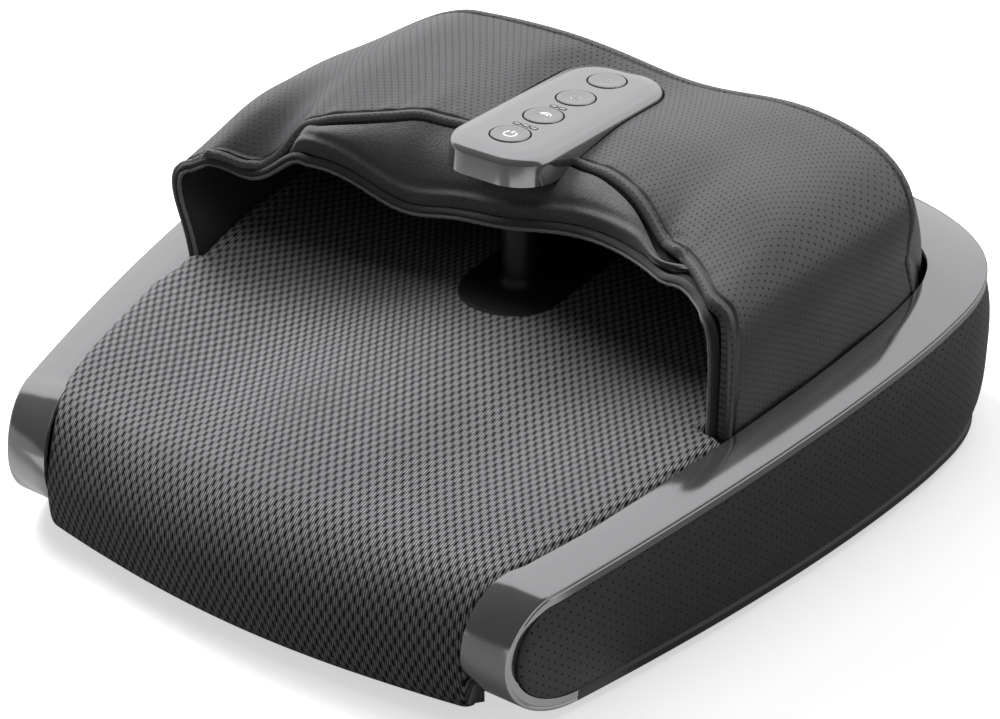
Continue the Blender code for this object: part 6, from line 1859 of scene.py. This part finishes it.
def woven_mesh(name, color):
    """Woven mesh: slanting threads in cells between two sets of grooves."""
    tree = new_finish(name, 0.85, 0.0, 0.2)
    uv = cloth_place(tree)
    s, t = lattice(tree, uv, WEAVE_ROW, WEAVE_COLUMN)
    row, column = tree.fade(s, *ROW_GROOVE), tree.fade(t, *COLUMN_GROOVE)
    slant, rise = tree.math('ADD', s, t), tree.math('SUBTRACT', s, t)
    pit = tree.math('MULTIPLY', tree.fade(slant, *PIT_ALONG), tree.fade(rise, *PIT_ACROSS))
    turn = tree.math('MULTIPLY', slant, 4 * math.pi)
    thread = tree.math('MULTIPLY', tree.math('SUBTRACT', 1.0, tree.math('COSINE', turn)), 0.5)
    shade = tree.total(1.0, (row, -0.30), (column, -0.38), (pit, -0.95))
    for value, share, least in ((thread, 1.80, 0.22), (tree.noise(uv, MESH_FUZZ), 0.5, 0.75),
                                (tree.noise(uv, MESH_CLOUDS), 0.16, 0.92)):
        shade = tree.math('MULTIPLY', shade, tree.total((value, share), least))
    height = tree.total((thread, 0.35), (pit, -0.8), (tree.math('ADD', row, column), -0.3))
    return tree.finish(tree.math('MAXIMUM', shade, MESH_DARKEST), color, tree.bump(height, MESH_RELIEF))


def felted(name, color, fibre):
    """Felt with tangled fibres."""
    tree = new_finish(name, 0.95, 0.0, 0.15)
    spot = object_place(tree)
    long = tree.noise(tree.stretch(spot, (1.0, 3.0, 3.0)), fibre, 4.0)
    cross = tree.noise(tree.stretch(spot, (3.0, 1.0, 1.5)), fibre * 0.7, 3.0)
    cloud = tree.noise(spot, FELT_CLOUDS, 3.0)
    height = tree.total(long, (cross, 0.7))
    tree.shader.inputs["Sheen Weight"].default_value = 0.25
    tree.shader.inputs["Sheen Roughness"].default_value = 0.6
    shade = tree.total((height, 0.85), (cloud, 0.35), 0.10)
    return tree.finish(shade, color, tree.bump(height, FELT_RELIEF))


def knitted(name, color, pitch, slant, depth):
    """Fine ribs of knit cloth, slanting across the run of the piece."""
    tree = new_finish(name, 0.92, 0.0, 0.15)
    uv = cloth_place(tree)
    u, v, _ = tree.split(uv)
    waves = []
    for lean in (slant, -slant):
        turn = tree.total((u, 2 * math.pi / pitch), (v, 2 * math.pi / pitch * lean))
        waves.append(tree.math('MULTIPLY', tree.math('ADD', tree.math('SINE', turn), 1.0), 0.5))
    rib = tree.math('MAXIMUM', *waves)
    shade = tree.total((rib, 0.55), (tree.noise(uv, KNIT_FUZZ), 0.5), 0.28)
    return tree.finish(shade, color, tree.bump(rib, depth))


def board_finish(name, color):
    """Circuit board lacquer with faint square tracks."""
    tree = new_finish(name, 0.35)
    cells = tree.cells(tree.stretch(object_place(tree), (1.0, 2.0, 0.2)), BOARD_TRACKS)
    tracks = tree.smooth(cells, 0.35, 0.42, 0.75, 1.15)
    return tree.finish(tracks, color, tree.bump(tracks, BOARD_RELIEF))


def make_finishes():
    """All finishes by their slot or by the name a piece asks for."""
    return {
        "satin_trim": metal("satin_gunmetal", (0.36, 0.36, 0.37), 0.12, None, 0.85, True),
        "panel_metal": metal("panel_metal", (0.40, 0.40, 0.41), 0.14, (1.0, 0.05, 1.0), 0.85),
        "button_metal": metal("button_metal", (0.38, 0.38, 0.39), 0.18, None, 0.85),
        "leatherette": perforated("hood_leatherette", (0.062, 0.062, 0.066), 0.40,
                                  (HOLE_PITCH, 0.0), (HOLE_PITCH / 2, HOLE_PITCH * 0.866),
                                  0.00050, 0.72, 0.9),
        "side_leather": perforated("side_leatherette", (0.096, 0.096, 0.099), 0.52,
                                   (0.0038, -0.0032), (0.0034, 0.0021), 0.00060, 0.85, 0.35),
        "mesh_cloth": woven_mesh("woven_mesh", (0.222, 0.222, 0.229)),
        "lining_cloth": knitted("lining_knit", (0.062, 0.062, 0.064), 0.0014, 0.6, 0.0002),
        "felt": felted("felt", (0.112, 0.112, 0.116), 620.0),
        "binding_cloth": felted("binding_cloth", (0.050, 0.050, 0.053), 900.0),
        "knit_edge": knitted("knit_edge", (0.300, 0.300, 0.308), 0.0013, 0.5, 0.0003),
        "rail_plastic": moulded("rail_plastic", (0.055, 0.055, 0.057), 0.42),
        "black_plastic": moulded("black_plastic", (0.022, 0.022, 0.024), 0.42),
        "post_plastic": moulded("post_plastic", (0.020, 0.020, 0.021), 0.30, 0.000001),
        "white_plastic": moulded("white_plastic", (0.72, 0.71, 0.67), 0.42),
        "steel": metal("steel", (0.55, 0.55, 0.56), 0.28, (1.0, 1.0, 0.05)),
        "brass": metal("brass", (0.60, 0.45, 0.20), 0.32),
        "rubber": moulded("rubber", (0.028, 0.028, 0.028), 0.80, 0.00006, 0.3),
        "circuit_board": board_finish("circuit_board", (0.03, 0.16, 0.07)),
        "mark_light": moulded("mark_light", (0.86, 0.86, 0.87), 0.5, 0.00001),
        "mark_faint": moulded("mark_faint", (0.48, 0.48, 0.49), 0.4, 0.00001),
        "mark_rim": moulded("mark_rim", (0.020, 0.020, 0.021), 0.4, 0.00001, 0.1),
        "mark_window": moulded("mark_window", (0.34, 0.34, 0.35), 0.3, 0.00001),
    }


def finish_nodes():
    """Give every CAD node that stays its procedural finish."""
    for part in frame["record"]["subparts"]:
        obj = frame["nodes"][part["node"]]
        obj.data.materials.clear()
        obj.data.materials.append(FINISHES[part["material_slot"]])


with open("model.json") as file:
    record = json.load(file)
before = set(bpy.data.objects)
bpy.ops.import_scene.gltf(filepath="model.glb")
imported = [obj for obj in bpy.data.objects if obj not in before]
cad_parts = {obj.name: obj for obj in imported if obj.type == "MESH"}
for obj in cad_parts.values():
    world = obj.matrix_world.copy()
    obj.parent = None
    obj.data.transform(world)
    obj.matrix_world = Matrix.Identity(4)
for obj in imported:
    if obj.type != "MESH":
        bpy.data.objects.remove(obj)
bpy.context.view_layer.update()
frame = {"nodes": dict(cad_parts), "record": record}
bpy.context.scene.view_settings.view_transform = 'Standard'
FINISHES = make_finishes()
make_camera()
make_world()
make_floor()
for lamp in LAMPS:
    make_lamp(*lamp)
finish_nodes()
for make_piece in (make_band, make_side_wrap, make_lower_rail, make_foot_pad, make_hood, make_lining,
                   make_flap, make_binding, make_post, make_panel):
    make_piece()
for button in zip(BUTTON_NODES, BUTTON_BODIES, BUTTON_SPOTS):
    make_button(*button)
make_button_marks()
make_level_marks()
